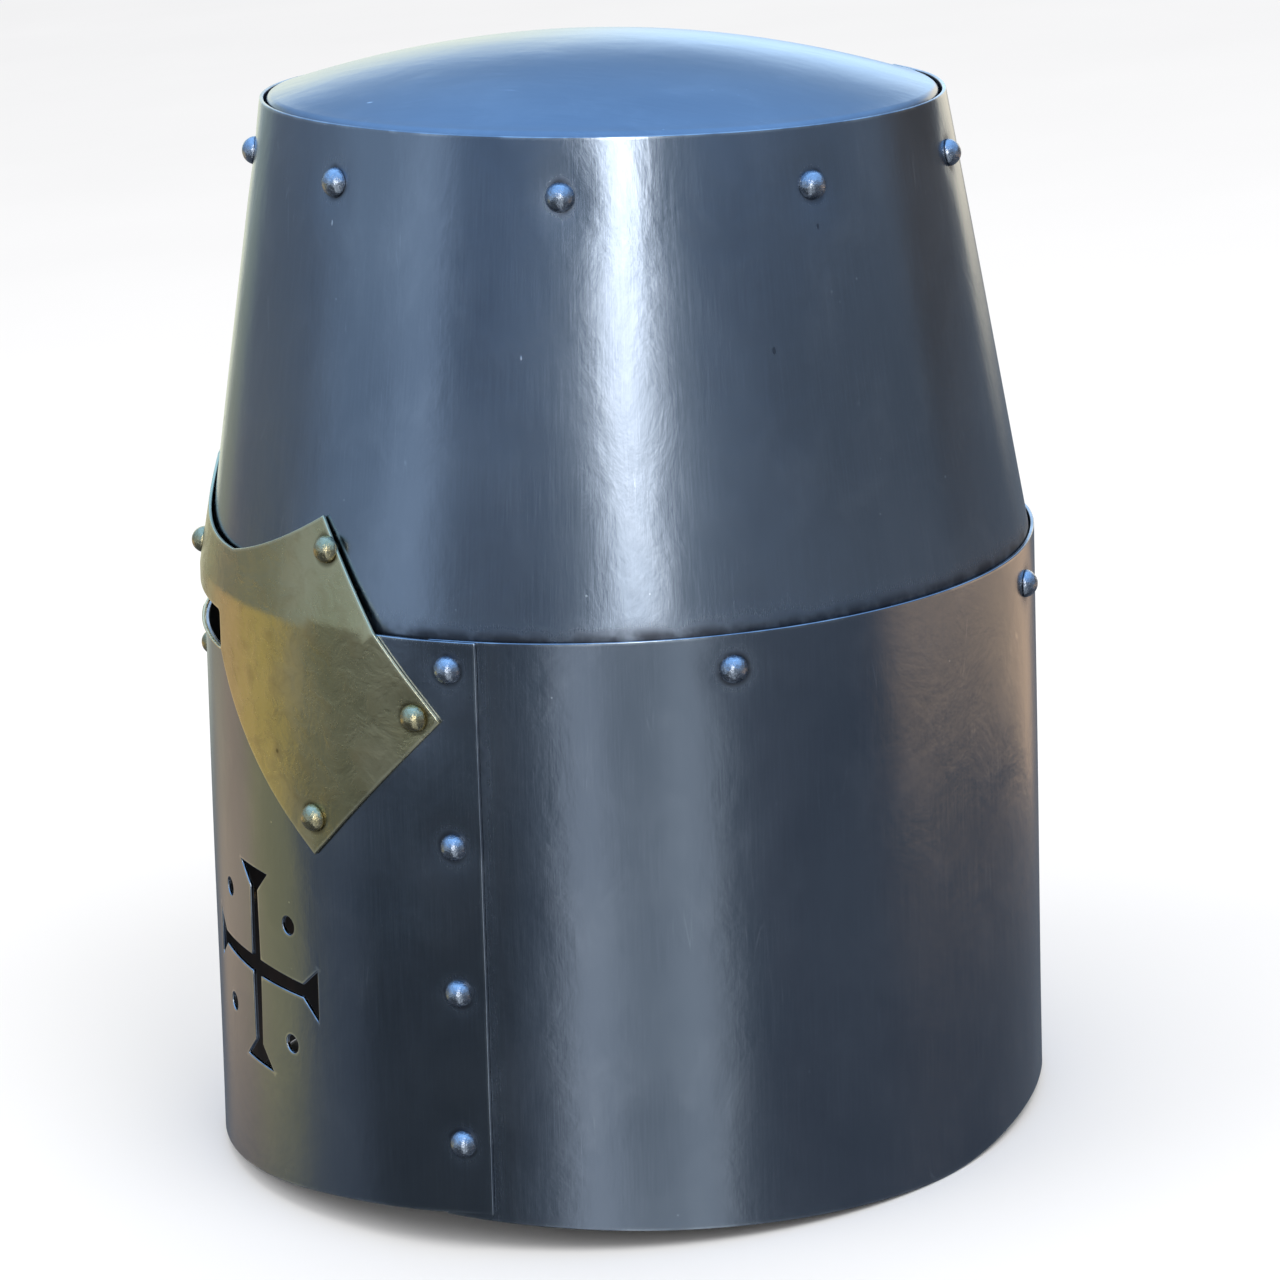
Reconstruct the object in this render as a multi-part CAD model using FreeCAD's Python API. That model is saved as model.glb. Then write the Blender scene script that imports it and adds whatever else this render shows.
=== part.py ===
import FreeCAD, Part
import math
import os

# Great helm of riveted sheet steel with a brass cross, a leather liner and a chin strap.
# Helm axes while modelling: X to the wearer's left, -Y to the face, Z up, and Z = 0 at the level
# stretch of the nape edge.  The finished helm is then leaned back onto its three resting points.
# Angles t run round the plan ellipse from the face (0) towards the wearer's left (+90).
# All lengths are in millimetres.

Vec = FreeCAD.Vector

# ---- Plan sizes of the walls (half length fore and aft, half width) ----
RIM_HALF = (124.4, 110.0)        # lower section, outside, at its upper rim
HEM_HALF = (129.0, 113.0)        # lower section, outside, at the nape edge
SKULL_HALF = (123.05, 108.65)    # skull plate, outside, where it enters the lower section
TOP_HALF = (99.1, 84.9)          # skull plate, outside, at the crown
TOP_FORWARD = 0.7                # how far forward of the rim the crown is centred

# ---- Heights ----
RIM_MEAN = 171.5                 # upper rim of the lower section, at the sides
RIM_TILT = 4.5                   # the rim is this much lower at the face and higher at the nape
TOP_Z = 303.5                    # crown edge
DOME_RISE = 15.5                 # crown centre above the crown edge
CROWN_SHOULDER = 1.6             # the dome meets its flange this far below the crown edge
CROWN_FLANGE = 27.0              # depth of the flange
CROWN_SLOPE = 0.18               # how fast the skull plate widens below the crown
SKULL_TUCK = 30.0                # how far the skull plate runs down inside the lower section
FACE_HEM_SIDE = 2.7              # face plate edge at the seam
FACE_HEM_DIP = 22.0              # how far it then drops to its lowest point under the chin
FACE_HEM_POWER = 1.3
NAPE_HEM_RISE = 4.6              # lift of the nape edge at the back centre
NAPE_RISE_FROM = math.cos(math.radians(30.0))

# ---- Sheet ----
STEEL = 1.2
BRASS = 1.0
GAP = 0.05                       # between plates that are riveted face to face

# ---- Seams ----
SEAM_T = 88.9                    # rear edge of the face plate, which lies outside
NAPE_FRONT_T = 82.2              # front edge of the nape plate, which lies inside
LAP_LIFT = STEEL + GAP           # the face plate stands out by this over the lap
LAP_BLEND_T = (62.0, 81.0)
SKULL_LAP_AT = 220.0             # the skull plate's lap, behind the wearer's right ear
SKULL_LAP_T = 4.5                # half of its width
SKULL_LAP_BLEND_T = 26.0         # the upper end rises onto the lower one from this far away
NAPE_SWELL_T = (14.0, 36.0)      # the nape plate swells out over the lap, and is level again here

# ---- Rivets ----
SHANK_R = 2.0
HOLE_R = 2.05
HEAD_R = 4.0
HEAD_H = 3.6
TAIL_R = 3.2
TAIL_H = 1.3
TAIL_GAP = 0.12                  # a flat tail meets a hollow wall along two lines only
HEAD_GAP = 0.02
SLANT_GAP = 0.25                 # where the inner surface is not square to the shank
DRILL_REACH = 14.0               # how far a rivet hole is drilled each way

CROWN_RIVET_DROP = 15.5
CROWN_RIVET_COUNT = 9
CROWN_LAP_RIVET = 1              # this one also goes through the skull plate's lap
LAP_RIVET_Z = (254.0, 219.0)
SIDE_RIVET_T = 85.1
SIDE_RIVET_Z = (163.1, 112.1, 68.9, 23.4)
RIM_RIVETS = ((180.0, 164.5), (121.4, 164.0), (-121.4, 164.0))
BROW_RIVETS = ((18.0, 171.3), (65.5, 190.5))                 # over the skull plate
CHEEK_RIVETS = ((10.8, 134.5), (63.0, 112.1), (80.4, 148.5))  # over the face plate
CHIN_RIVET_Z = 42.0

# ---- Openings in the face ----
CUT_DEPTH = 185.0                # level cuts run this far out from the middle
SLOT_T = (8.0, 40.0)
SLOT_Z = (150.0, 162.0)
RELIEF_X = 77.5                  # inner plates are cut away behind the slots, to this half width
RELIEF_TOP = 163.6

# ---- Brass cross: (t, z) corners of the wearer's left half ----
CROSS_TOP_MID = (43.1, 181.6)
CROSS_TOP_PEAK = (0.0, 206.0)
CROSS_BROW = (14.0, 196.0)
CROSS_UPPER = (64.1, 199.3)
CROSS_TIP = (84.0, 148.1)
CROSS_LOWER = (62.9, 100.9)
CROSS_LOWER_MID = (48.6, 126.5)
CROSS_REACH_Z = 36.0             # height over the rim at which the brass meets the skull plate
CROSS_REACH_GAP = 0.12
CROSS_BLANK_T = 86.0             # the cross is cut from a sheet that reaches this far round
CROSS_BLANK_OVER = 4.0           # and this far above and below it
CROSS_ROOT = (20.0, 187.0)       # where the side arm grows out of the upright
CROSS_BEND_T = 75.0              # end of the side arm at the rim
CROSS_ARM_T = 56.0               # the side arm's outline is cut square to the wall here
CROSS_TOP_SAG = (1.6, 2.0)       # hollow of the upper edge, inner and outer half
CHIN_ARM_ROOT = (32.0, 150.0)    # half width and height of the chin arm
CHIN_ARM_WAIST = (15.0, 104.0)
CHIN_ARM_FLARE = (27.0, 47.0)
CHIN_ARM_POINT_Z = 22.0

# ---- Breaths ----
VENT_T = 47.2
VENT_Z = 56.5
VENT_ARM = 31.0                  # from the middle to the end of each arm
VENT_BAR = 5.0                   # width of the arms
VENT_FLARE = 16.0                # width of their splayed ends
VENT_FLARE_DEPTH = 6.5
VENT_HOLE_R = 2.75
VENT_HOLE_AT = 18.5
VENT_CUT = 60.0                  # depth of the cut, half of it inside the wall

# ---- Liner ----
LEATHER = 2.4
LINER_GAP = 0.3
BAND_BOTTOM = 158.0
BAND_TOP_OVER_RIM = 34.0
TONGUES = 8
TONGUE_BASE_T = 21.5             # half width of a tongue at the band, in degrees
TONGUE_TIP_T = 13.0              # and at the lace
TONGUE_TOP_Z = 266.0
TONGUE_TOP_HALF = (24.0, 20.0)
TONGUE_START = 25.5              # foot of the tongues above the rim
TONGUE_SLOPE = 0.3               # how soon the tongues lean away from the skull plate
TONGUE_ROUND = 2.2               # higher keeps the tongues upright for longer
TONGUE_STEPS = 8
TONGUE_STEP_U = 0.34             # spacing of the points across a tongue, of its half width
SEWN_GAP = 0.15
LACE_RING_R = 22.0
LACE_R = 1.6
LACE_KNOT_R = 3.52

# ---- Chin strap ----
STRAP_WIDTH = 18.0
STRAP = 1.8
STRAP_PIN_DROP = 18.0            # strap pin below the second side rivet
HANGER = 1.5                     # thickness of the hanger plate
HANGER_GAP = 0.35                # flat plate against the hollow wall
HANGER_WIDTH = 14.0
HANGER_UP = 8.0
HANGER_DOWN = 25.0
HANGER_CORNER_R = 5.0
PIN_R = 2.5
PIN_ROOT = 0.6                   # how far the pin is let into the hanger
PIN_OUT = 4.0                    # pin length from the hanger to its head
PIN_HEAD_R = 4.4
PIN_HEAD_H = 1.0
PIN_CLEARANCE = 0.06
EYELET_R = 4.0
EYELET_FLANGE_R = 6.0
EYELET_FLANGE = 0.5              # thickness of its flanges
EYELET_SIDE = 0.1                # play of the strap between the flanges, each side
EYELET_OUT = 0.6                 # outer flange to hanger
LEATHER_HOLE_PLAY = 0.02
STRAP_LOW = 72.0                 # bottom of the strap below its pins
STRAP_OVER_PIN = 9.0             # strap end above the pin
LONG_END_BEND_R = 34.0
LONG_END_STRAIGHT = 24.0         # the long end hangs straight this far below its pin
LONG_END_SLANT = 52.0            # then slants in by this much
LONG_END_TIP_X = 58.0            # and ends here, past the buckle
SHORT_END_BEND_R = 30.0
SHORT_END_STRAIGHT = 16.0
SHORT_END_SLANT = 34.0
FOLD_RUN = 16.0                  # length of the end that is folded back under the buckle bar
STITCH_START = 7.0               # sewn block that closes the fold, from the bar
STITCH_RUN = 9.0
PRONG_SLOT = (11.0, 3.6)         # slot under the prong in the long end
PRONG_SLOT_X = 13.6
FOLD_SLOT = (8.0, 4.6)           # slot in the fold for the prong's hub
FOLD_SLOT_BEFORE = 5.0
SPARE_HOLE_X = (44.0, 36.0)
SPARE_HOLE_R = 1.4
THROUGH = 30.0                   # a cut that goes right through the strap
WIRE_GAP = 0.3                   # strap to buckle wire
FOLD_GAP = 0.15                  # fold to buckle bar
BUCKLE_BAR_X = 28.0
BUCKLE_FAR_X = 9.5
BUCKLE_WIRE = 2.5
BUCKLE_HALF_Y = 13.5
PRONG_R = 0.9
PRONG_HUB = (3.0, 1.3)           # width of the hub and its wall
PRONG_PAST = 2.0                 # the tip passes the far wire by this much
PRONG_CLEAR = 1.6                # and lies this far under it
PRONG_FROM = 0.08                # where the finger leaves the hub, of its length
KEEPER_X = 18.0                  # keeper, from the buckle bar
KEEPER_WIDTH = 7.0
KEEPER_WALL = 1.6
KEEPER_GAP = 0.3

# ---- How the finished helm stands ----
LEAN_DEG = 4.56                  # leaned back until the nape edge meets the floor
CENTRE_SHIFT = -5.17             # then moved so that its box is centred over the origin
LIFT = 9.07


def smooth(value, start, end):
    """Run from 0 at start to 1 at end, with level ends."""
    share = min(1.0, max(0.0, (value - start) / (end - start)))
    return share * share * (3.0 - 2.0 * share)


def ring_angle(t):
    """Bring an angle into -180 to 180."""
    return (t + 180.0) % 360.0 - 180.0


def rim_z(t):
    return RIM_MEAN - RIM_TILT * math.cos(math.radians(t))


def face_hem_z(t):
    dip = max(0.0, math.cos(math.radians(t))) ** FACE_HEM_POWER
    return FACE_HEM_SIDE - FACE_HEM_DIP * dip


def nape_hem_z(t):
    share = (-math.cos(math.radians(t)) - NAPE_RISE_FROM) / (1.0 - NAPE_RISE_FROM)
    return NAPE_HEM_RISE * max(0.0, share) ** 2


def ellipse_point(half, t, z, forward=0.0):
    angle = math.radians(t)
    return Vec(half[1] * math.sin(angle), -half[0] * math.cos(angle) - forward, z)


def lower_wall(t, z, out=0.0):
    """A point of the lower section's wall, out millimetres outside its surface."""
    share = 1.0 - z / RIM_MEAN
    half = [r + (h - r) * share + out for r, h in zip(RIM_HALF, HEM_HALF)]
    return ellipse_point(half, t, z)


def nape_wall(t, z, out=0.0):
    return lower_wall(t, z, out + nape_lift(t))


def skull_wall(t, z, out=0.0):
    """A point of the skull plate's wall: upright up to the rim, then drawn in to the crown."""
    bend = rim_z(t)
    share = max(0.0, (z - bend) / (TOP_Z - bend))
    half = [s + (e - s) * share + out for s, e in zip(SKULL_HALF, TOP_HALF)]
    return ellipse_point(half, t, z, TOP_FORWARD * share)


def cross_wall(t, z, out=0.0):
    """The brass lies on the face plate, and above the rim it leans in to meet the skull plate."""
    bend = rim_z(t)
    low = lower_wall(t, min(z, bend), face_lift(t) + GAP + out)
    if z <= bend:
        return low
    high = skull_wall(t, bend + CROSS_REACH_Z, CROSS_REACH_GAP + out)
    return low + (high - low) * ((z - bend) / CROSS_REACH_Z)


def face_lift(t):
    return LAP_LIFT * smooth(abs(ring_angle(t)), *LAP_BLEND_T)


def nape_lift(t):
    near, far = NAPE_SWELL_T
    return (LAP_LIFT + GAP) * smooth(-abs(ring_angle(t - SKULL_LAP_AT)), -far, -near)


def skull_lift(t):
    """Only the end of the skull plate with the larger t rides over the other end."""
    return LAP_LIFT * smooth(t, SKULL_LAP_AT - SKULL_LAP_BLEND_T, SKULL_LAP_AT - SKULL_LAP_T - 1.0)


def spline(points):
    curve = Part.BSplineCurve()
    curve.interpolate(points)
    return curve.toShape()


def solid_of(faces):
    """Sew faces into one closed solid that has its material inside."""
    skin = Part.makeCompound(faces)
    skin.sewShape(0.001)
    solid = Part.Solid(skin.Shells[0])
    if solid.Volume < 0:
        solid.reverse()
    return solid


def sheet(outer_rows, inner_rows, start, end, step=4.0):
    """A bent sheet between rows of points; each row gives a point for an angle t."""
    closed = abs(end - start - 360.0) < 0.01
    spans = max(1, int(math.ceil((end - start) / 90.0)))
    faces = []
    loop = outer_rows + inner_rows[::-1]
    for span in range(spans):
        low = start + (end - start) * span / spans
        high = start + (end - start) * (span + 1) / spans
        count = max(3, int(math.ceil((high - low) / step)) + 1)
        angles = [low + (high - low) * i / (count - 1) for i in range(count)]
        edges = [spline([row(t) for t in angles]) for row in loop]
        for first, second in zip(edges, edges[1:] + edges[:1]):
            faces.append(Part.makeRuledSurface(first, second))
    if not closed:
        for t in (start, end):
            for k in range(len(outer_rows) - 1):
                out_line = Part.LineSegment(outer_rows[k](t), outer_rows[k + 1](t)).toShape()
                in_line = Part.LineSegment(inner_rows[k](t), inner_rows[k + 1](t)).toShape()
                faces.append(Part.makeRuledSurface(out_line, in_line))
    return solid_of(faces)


def normal_at(wall, t, z):
    """Outward direction of a wall."""
    around = wall(t + 0.5, z) - wall(t - 0.5, z)
    up = wall(t, z + 0.5) - wall(t, z - 0.5)
    out = around.cross(up)
    out.normalize()
    return out


def axis_of(place):
    """The outer end and the outward direction of a rivet at (wall, t, z, out, grip)."""
    wall, t, z, out, grip = place
    return wall(t, z, out), normal_at(wall, t, z)


def rivet(place):
    """Domed head outside, shank, and a low peened tail inside."""
    grip = place[4] + TAIL_GAP
    head_ball_r = (HEAD_R ** 2 + HEAD_H ** 2) / (2.0 * HEAD_H)
    tail_ball_r = (TAIL_R ** 2 + TAIL_H ** 2) / (2.0 * TAIL_H)
    points = [Vec(0, 0, HEAD_H), Vec(HEAD_R, 0, 0), Vec(SHANK_R, 0, 0), Vec(SHANK_R, 0, -grip),
              Vec(TAIL_R, 0, -grip), Vec(0, 0, -grip - TAIL_H)]
    head_mid = head_ball_r * math.sin(0.5 * math.asin(HEAD_R / head_ball_r))
    head_mid_z = HEAD_H - head_ball_r + math.sqrt(head_ball_r ** 2 - head_mid ** 2)
    tail_mid = tail_ball_r * math.sin(0.5 * math.asin(TAIL_R / tail_ball_r))
    tail_mid_z = -grip - TAIL_H + tail_ball_r - math.sqrt(tail_ball_r ** 2 - tail_mid ** 2)
    edges = [Part.Arc(points[0], Vec(head_mid, 0, head_mid_z), points[1]).toShape()]
    edges += [Part.LineSegment(points[k], points[k + 1]).toShape() for k in (1, 2, 3)]
    edges.append(Part.Arc(points[4], Vec(tail_mid, 0, tail_mid_z), points[5]).toShape())
    edges.append(Part.LineSegment(points[5], points[0]).toShape())
    body = Part.Face(Part.Wire(edges)).revolve(Vec(0, 0, 0), Vec(0, 0, 1), 360)
    base, out = axis_of(place)
    turn = FreeCAD.Rotation(Vec(0, 0, 1), out)
    body.Placement = FreeCAD.Placement(base, turn)
    return body


def drill(shape, places):
    """Cut the rivet holes through a plate."""
    tools = []
    for place in places:
        base, out = axis_of(place)
        tools.append(Part.makeCylinder(HOLE_R, 2 * DRILL_REACH, base - out * DRILL_REACH, out))
    near = [tool for tool in tools if tool.BoundBox.intersect(shape.BoundBox)]
    return shape.cut(near).Solids[0] if near else shape


def prism(points, direction, depth):
    """Push an outline along a level direction; a triple of points is an arc through its middle."""
    def flat(point):
        return point - direction * point.dot(direction)
    edges = []
    for item in points:
        ends = [flat(point) for point in item]
        if len(ends) == 2:
            edges.append(Part.LineSegment(*ends).toShape())
        else:
            edges.append(Part.Arc(*ends).toShape())
    return Part.Face(Part.Wire(edges)).extrude(direction * depth)


def level_normal(t, z):
    out = normal_at(lower_wall, t, z)
    out.z = 0.0
    out.normalize()
    return out


def mirrored(shape):
    return shape.mirror(Vec(0, 0, 0), Vec(1, 0, 0))


# ---- Cutters for the face's openings ----

def slot_cutter():
    first, last = SLOT_T
    low, high = SLOT_Z
    corners = [lower_wall(first, low), lower_wall(last, low), lower_wall(last, high), lower_wall(first, high)]
    sides = list(zip(corners, corners[1:] + corners[:1]))
    return prism(sides, level_normal(0.5 * (first + last), low), CUT_DEPTH)


def sight_relief():
    """Space behind the eye slots that the skull plate and the liner leave open."""
    low = RIM_MEAN - 2 * SKULL_TUCK
    return Part.makeBox(2 * RELIEF_X, CUT_DEPTH, RELIEF_TOP - low, Vec(-RELIEF_X, -CUT_DEPTH, low))


def vent_cutter():
    """Cruciform breath with splayed ends and a round hole in each quarter."""
    centre = lower_wall(VENT_T, VENT_Z)
    out = level_normal(VENT_T, VENT_Z)
    side = Vec(0, 0, 1).cross(out)
    inside = centre - out * (VENT_CUT / 2.0)
    outline = []
    half = VENT_BAR / 2.0
    for quarter in range(4):
        turn = math.radians(90.0 * quarter)
        arm = [(half, half), (VENT_ARM - VENT_FLARE_DEPTH, half * 0.8), (VENT_ARM, VENT_FLARE / 2.0),
               (VENT_ARM, -VENT_FLARE / 2.0), (VENT_ARM - VENT_FLARE_DEPTH, -half * 0.8)]
        for along, across in arm[::-1]:
            u = along * math.cos(turn) - across * math.sin(turn)
            v = along * math.sin(turn) + across * math.cos(turn)
            outline.append(inside + side * u + Vec(0, 0, v))
    cutter = Part.Face(Part.makePolygon(outline + outline[:1])).extrude(out * VENT_CUT)
    for u in (-VENT_HOLE_AT, VENT_HOLE_AT):
        for v in (-VENT_HOLE_AT, VENT_HOLE_AT):
            hole_base = inside + side * u + Vec(0, 0, v)
            cutter = cutter.fuse(Part.makeCylinder(VENT_HOLE_R, VENT_CUT, hole_base, out))
    return cutter


# ---- Plates ----

def face_plate():
    def row(z_of, out):
        return lambda t: lower_wall(t, z_of(t), out + face_lift(t))
    outer = [row(face_hem_z, 0.0), row(rim_z, 0.0)]
    inner = [row(face_hem_z, -STEEL), row(rim_z, -STEEL)]
    plate = sheet(outer, inner, -SEAM_T, SEAM_T)
    slot = slot_cutter()
    vent = vent_cutter()
    return plate.cut([slot, mirrored(slot), vent, mirrored(vent)]).Solids[0]


def nape_plate():
    def row(z_of, out):
        return lambda t: nape_wall(t, z_of(t), out)
    outer = [row(nape_hem_z, 0.0), row(rim_z, 0.0)]
    inner = [row(nape_hem_z, -STEEL), row(rim_z, -STEEL)]
    return sheet(outer, inner, NAPE_FRONT_T, 360.0 - NAPE_FRONT_T)


def skull_plate():
    """One sheet, tucked into the lower section, its ends lapped and riveted."""
    def row(z_of, out):
        return lambda t: skull_wall(t, z_of(t), out + skull_lift(t))
    heights = [lambda t: rim_z(t) - SKULL_TUCK, rim_z, lambda t: TOP_Z]
    outer = [row(height, 0.0) for height in heights]
    inner = [row(height, -STEEL) for height in heights]
    plate = sheet(outer, inner, SKULL_LAP_AT - 360.0 - SKULL_LAP_T, SKULL_LAP_AT + SKULL_LAP_T)
    return plate.cut(sight_relief()).Solids[0]


def crown_plate():
    """Shallow dome with its edge turned down inside the skull plate."""
    flange_low = TOP_Z - CROWN_FLANGE
    shoulder = TOP_Z - CROWN_SHOULDER

    def row(z, out):
        return lambda t: skull_wall(t, z, -STEEL - GAP + out)
    flange = sheet([row(flange_low, 0.0), row(shoulder, 0.0)],
                   [row(flange_low, -STEEL), row(shoulder, -STEEL)], 0.0, 360.0)
    half = [size - STEEL - GAP + CROWN_SHOULDER * CROWN_SLOPE for size in TOP_HALF]
    rise = DOME_RISE + CROWN_SHOULDER
    tall = 2 * rise + STEEL
    ball_r = (half[0] ** 2 + rise ** 2) / (2.0 * rise)
    centre = Vec(0, 0, shoulder + rise - ball_r)
    shell = Part.makeSphere(ball_r, centre).cut(Part.makeSphere(ball_r - STEEL, centre))
    keep = Part.makeBox(2 * half[0], 2 * half[0], tall, Vec(-half[0], -half[0], shoulder - STEEL))
    rim = Part.makeCylinder(half[0], tall, Vec(0, 0, shoulder - STEEL))
    dome = shell.common(keep).common(rim)
    squeeze = FreeCAD.Matrix()
    squeeze.scale(half[1] / half[0], 1.0, 1.0)
    squeeze.move(Vec(0, -TOP_FORWARD, 0))
    return dome.transformGeometry(squeeze).fuse(flange).Solids[0]


def brass_cross():
    """Cross with splayed, pointed arms over the eye slots and down to the chin."""
    low = CHIN_ARM_POINT_Z - CROSS_BLANK_OVER
    high = CROSS_TOP_PEAK[1] + CROSS_BLANK_OVER
    heights = [lambda t: low, rim_z, lambda t: high]
    outer = [(lambda t, h=height: cross_wall(t, h(t), BRASS)) for height in heights]
    inner = [(lambda t, h=height: cross_wall(t, h(t), 0.0)) for height in heights]
    blank = sheet(outer, inner, -CROSS_BLANK_T, CROSS_BLANK_T)

    def at(corner):
        return cross_wall(corner[0], corner[1], BRASS)

    def between(first, last, rise=0.0):
        t = 0.5 * (first[0] + last[0])
        return cross_wall(t, 0.5 * (first[1] + last[1]) + rise, BRASS)

    bend = (CROSS_BEND_T, rim_z(CROSS_BEND_T))
    slot_low = (SLOT_T[1], SLOT_Z[0])
    root = CROSS_ROOT
    inner_sag, outer_sag = CROSS_TOP_SAG
    arm = prism([
        (at(root), between(root, CROSS_TOP_MID, -inner_sag), at(CROSS_TOP_MID)),
        (at(CROSS_TOP_MID), between(CROSS_TOP_MID, CROSS_UPPER, -outer_sag), at(CROSS_UPPER)),
        (at(CROSS_UPPER), at(bend)),
        (at(bend), at(CROSS_TIP)),
        (at(CROSS_TIP), at(CROSS_LOWER)),
        (at(CROSS_LOWER), at(CROSS_LOWER_MID), at(slot_low)),
        (at(slot_low), at((root[0], SLOT_Z[0]))),
        (at((root[0], SLOT_Z[0])), at(root)),
    ], level_normal(CROSS_ARM_T, SLOT_Z[0]), CUT_DEPTH)

    brow_x = cross_wall(*CROSS_BROW).x
    root_x = cross_wall(*root).x
    half = [
        (0.0, CROSS_TOP_PEAK[1]), (brow_x, CROSS_BROW[1]), (root_x, root[1]), (root_x, SLOT_Z[0]),
        CHIN_ARM_ROOT, CHIN_ARM_WAIST, CHIN_ARM_FLARE, (0.0, CHIN_ARM_POINT_Z),
    ]
    outline = [Vec(x, 0, z) for x, z in half]
    outline += [Vec(-x, 0, z) for x, z in half[-2:0:-1]]
    front = prism(list(zip(outline, outline[1:] + outline[:1])), Vec(0, -1, 0), CUT_DEPTH)

    stencil = arm.fuse([mirrored(arm), front])
    slot = slot_cutter()
    return blank.common(stencil).cut([slot, mirrored(slot)]).Solids[0]


# ---- Rivet places: (wall, t, z, outside face, grip) ----

def band_inside(t, z):
    return skull_wall(t, z, -STEEL - LINER_GAP - LEATHER)


def grip_through(wall, t, z, out, inside):
    """Length of a rivet's shank from the outside of a wall to an inner surface."""
    base, along = wall(t, z, out), normal_at(wall, t, z)
    return (base - inside(t, z)).dot(along) + SLANT_GAP


def rivet_places():
    crown = []
    for index in range(CROWN_RIVET_COUNT):
        t = ring_angle(180.0 + 360.0 * index / CROWN_RIVET_COUNT)
        lap = LAP_LIFT if index == CROWN_LAP_RIVET else 0.0
        crown.append((skull_wall, t, TOP_Z - CROWN_RIVET_DROP, lap, lap + STEEL + GAP + STEEL))
    seam = [(skull_wall, SKULL_LAP_AT, z, LAP_LIFT, LAP_LIFT + STEEL) for z in LAP_RIVET_Z]
    side = []
    for index, z in enumerate(SIDE_RIVET_Z):
        out = face_lift(SIDE_RIVET_T) + HEAD_GAP
        grip = out + STEEL
        if index == 0:
            grip = grip_through(lower_wall, SIDE_RIVET_T, z, out, band_inside)
        if index == 1:
            grip += HANGER_GAP + HANGER
        side.append((lower_wall, SIDE_RIVET_T, z, out, grip))
    rim = []
    for t, z in RIM_RIVETS:
        rim.append((nape_wall, t, z, HEAD_GAP, grip_through(nape_wall, t, z, HEAD_GAP, band_inside)))
    cross = []
    out = BRASS + HEAD_GAP
    for sign in (1, -1):
        for t, z in BROW_RIVETS:
            cross.append((cross_wall, sign * t, z, out, grip_through(cross_wall, t, z, out, band_inside)))
        for t, z in CHEEK_RIVETS:
            grip = out + GAP + face_lift(t) + STEEL
            behind_skull = z > rim_z(t) - SKULL_TUCK and lower_wall(t, z).x > RELIEF_X
            if behind_skull:
                grip = grip_through(cross_wall, t, z, out, lambda t, z: skull_wall(t, z, -STEEL))
            cross.append((cross_wall, sign * t, z, out, grip))
    cross.append((cross_wall, 0.0, CHIN_RIVET_Z, out, out + GAP + STEEL))
    return {"crown": crown, "lap": seam, "side": side, "rim": rim, "cross": cross}


# ---- Liner ----

def liner_band():
    def row(z_of, out):
        return lambda t: skull_wall(t, z_of(t), -STEEL - LINER_GAP + out)
    heights = [lambda t: BAND_BOTTOM, rim_z, lambda t: rim_z(t) + BAND_TOP_OVER_RIM]
    outer = [row(height, 0.0) for height in heights]
    inner = [row(height, -LEATHER) for height in heights]
    return sheet(outer, inner, 0.0, 360.0).cut(sight_relief()).Solids[0]


def tongue_point(t, share, depth):
    """A point of the liner's dome, from the band's top (0) to the lace (1)."""
    draw = TONGUE_SLOPE * share + (1.0 - TONGUE_SLOPE) * (1.0 - math.sqrt(1.0 - share ** TONGUE_ROUND))
    foot = tongue_foot(t, BAND_TOP_OVER_RIM, depth)
    top_half = [size - depth * (1.0 - share) for size in TONGUE_TOP_HALF]
    top = ellipse_point(top_half, t, TONGUE_TOP_Z)
    point = foot + (top - foot) * draw
    point.z = foot.z + (top.z - foot.z) * math.sin(math.radians(90.0 * share)) - depth * share
    return point


def tongue_foot(t, over_rim, depth):
    """A point of a tongue where it lies sewn against the band."""
    return skull_wall(t, rim_z(t) + over_rim, -STEEL - LINER_GAP - LEATHER - SEWN_GAP - depth)


def liner_tongue(index):
    """One leaf of the liner, rising from the band and drawn in to the lace."""
    middle = 360.0 * (index + 0.5) / TONGUES

    def rows(depth):
        found = [lambda u: tongue_foot(middle + TONGUE_BASE_T * u, TONGUE_START, depth)]
        for step in range(TONGUE_STEPS + 1):
            share = step / TONGUE_STEPS
            spread = TONGUE_BASE_T + (TONGUE_TIP_T - TONGUE_BASE_T) * share
            found.append(lambda u, s=share, w=spread: tongue_point(middle + w * u, s, depth))
        return found
    return sheet(rows(0.0), rows(LEATHER), -1.0, 1.0, TONGUE_STEP_U)


def liner_lace():
    """Drawn cord that gathers the tongues, with its knot."""
    z = TONGUE_TOP_Z - LEATHER - LINER_GAP - LACE_R
    ring = Part.makeTorus(LACE_RING_R, LACE_R, Vec(0, 0, z))
    knot = Part.makeSphere(LACE_KNOT_R, Vec(0, LACE_R - LACE_RING_R, z - LACE_KNOT_R))
    return ring.fuse(knot).Solids[0]


# ---- Chin strap ----

def strap_pin():
    """Inner face of the hanger at the strap pin, on the wearer's left."""
    z = SIDE_RIVET_Z[1] - STRAP_PIN_DROP
    depth = STEEL + HANGER_GAP + HANGER
    base = lower_wall(SIDE_RIVET_T, SIDE_RIVET_Z[1], -depth)
    out = normal_at(lower_wall, SIDE_RIVET_T, SIDE_RIVET_Z[1])
    down = Vec(0, 0, -1) + out * out.z
    down.normalize()
    at = base + down * STRAP_PIN_DROP
    at.z = z
    return at


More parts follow.
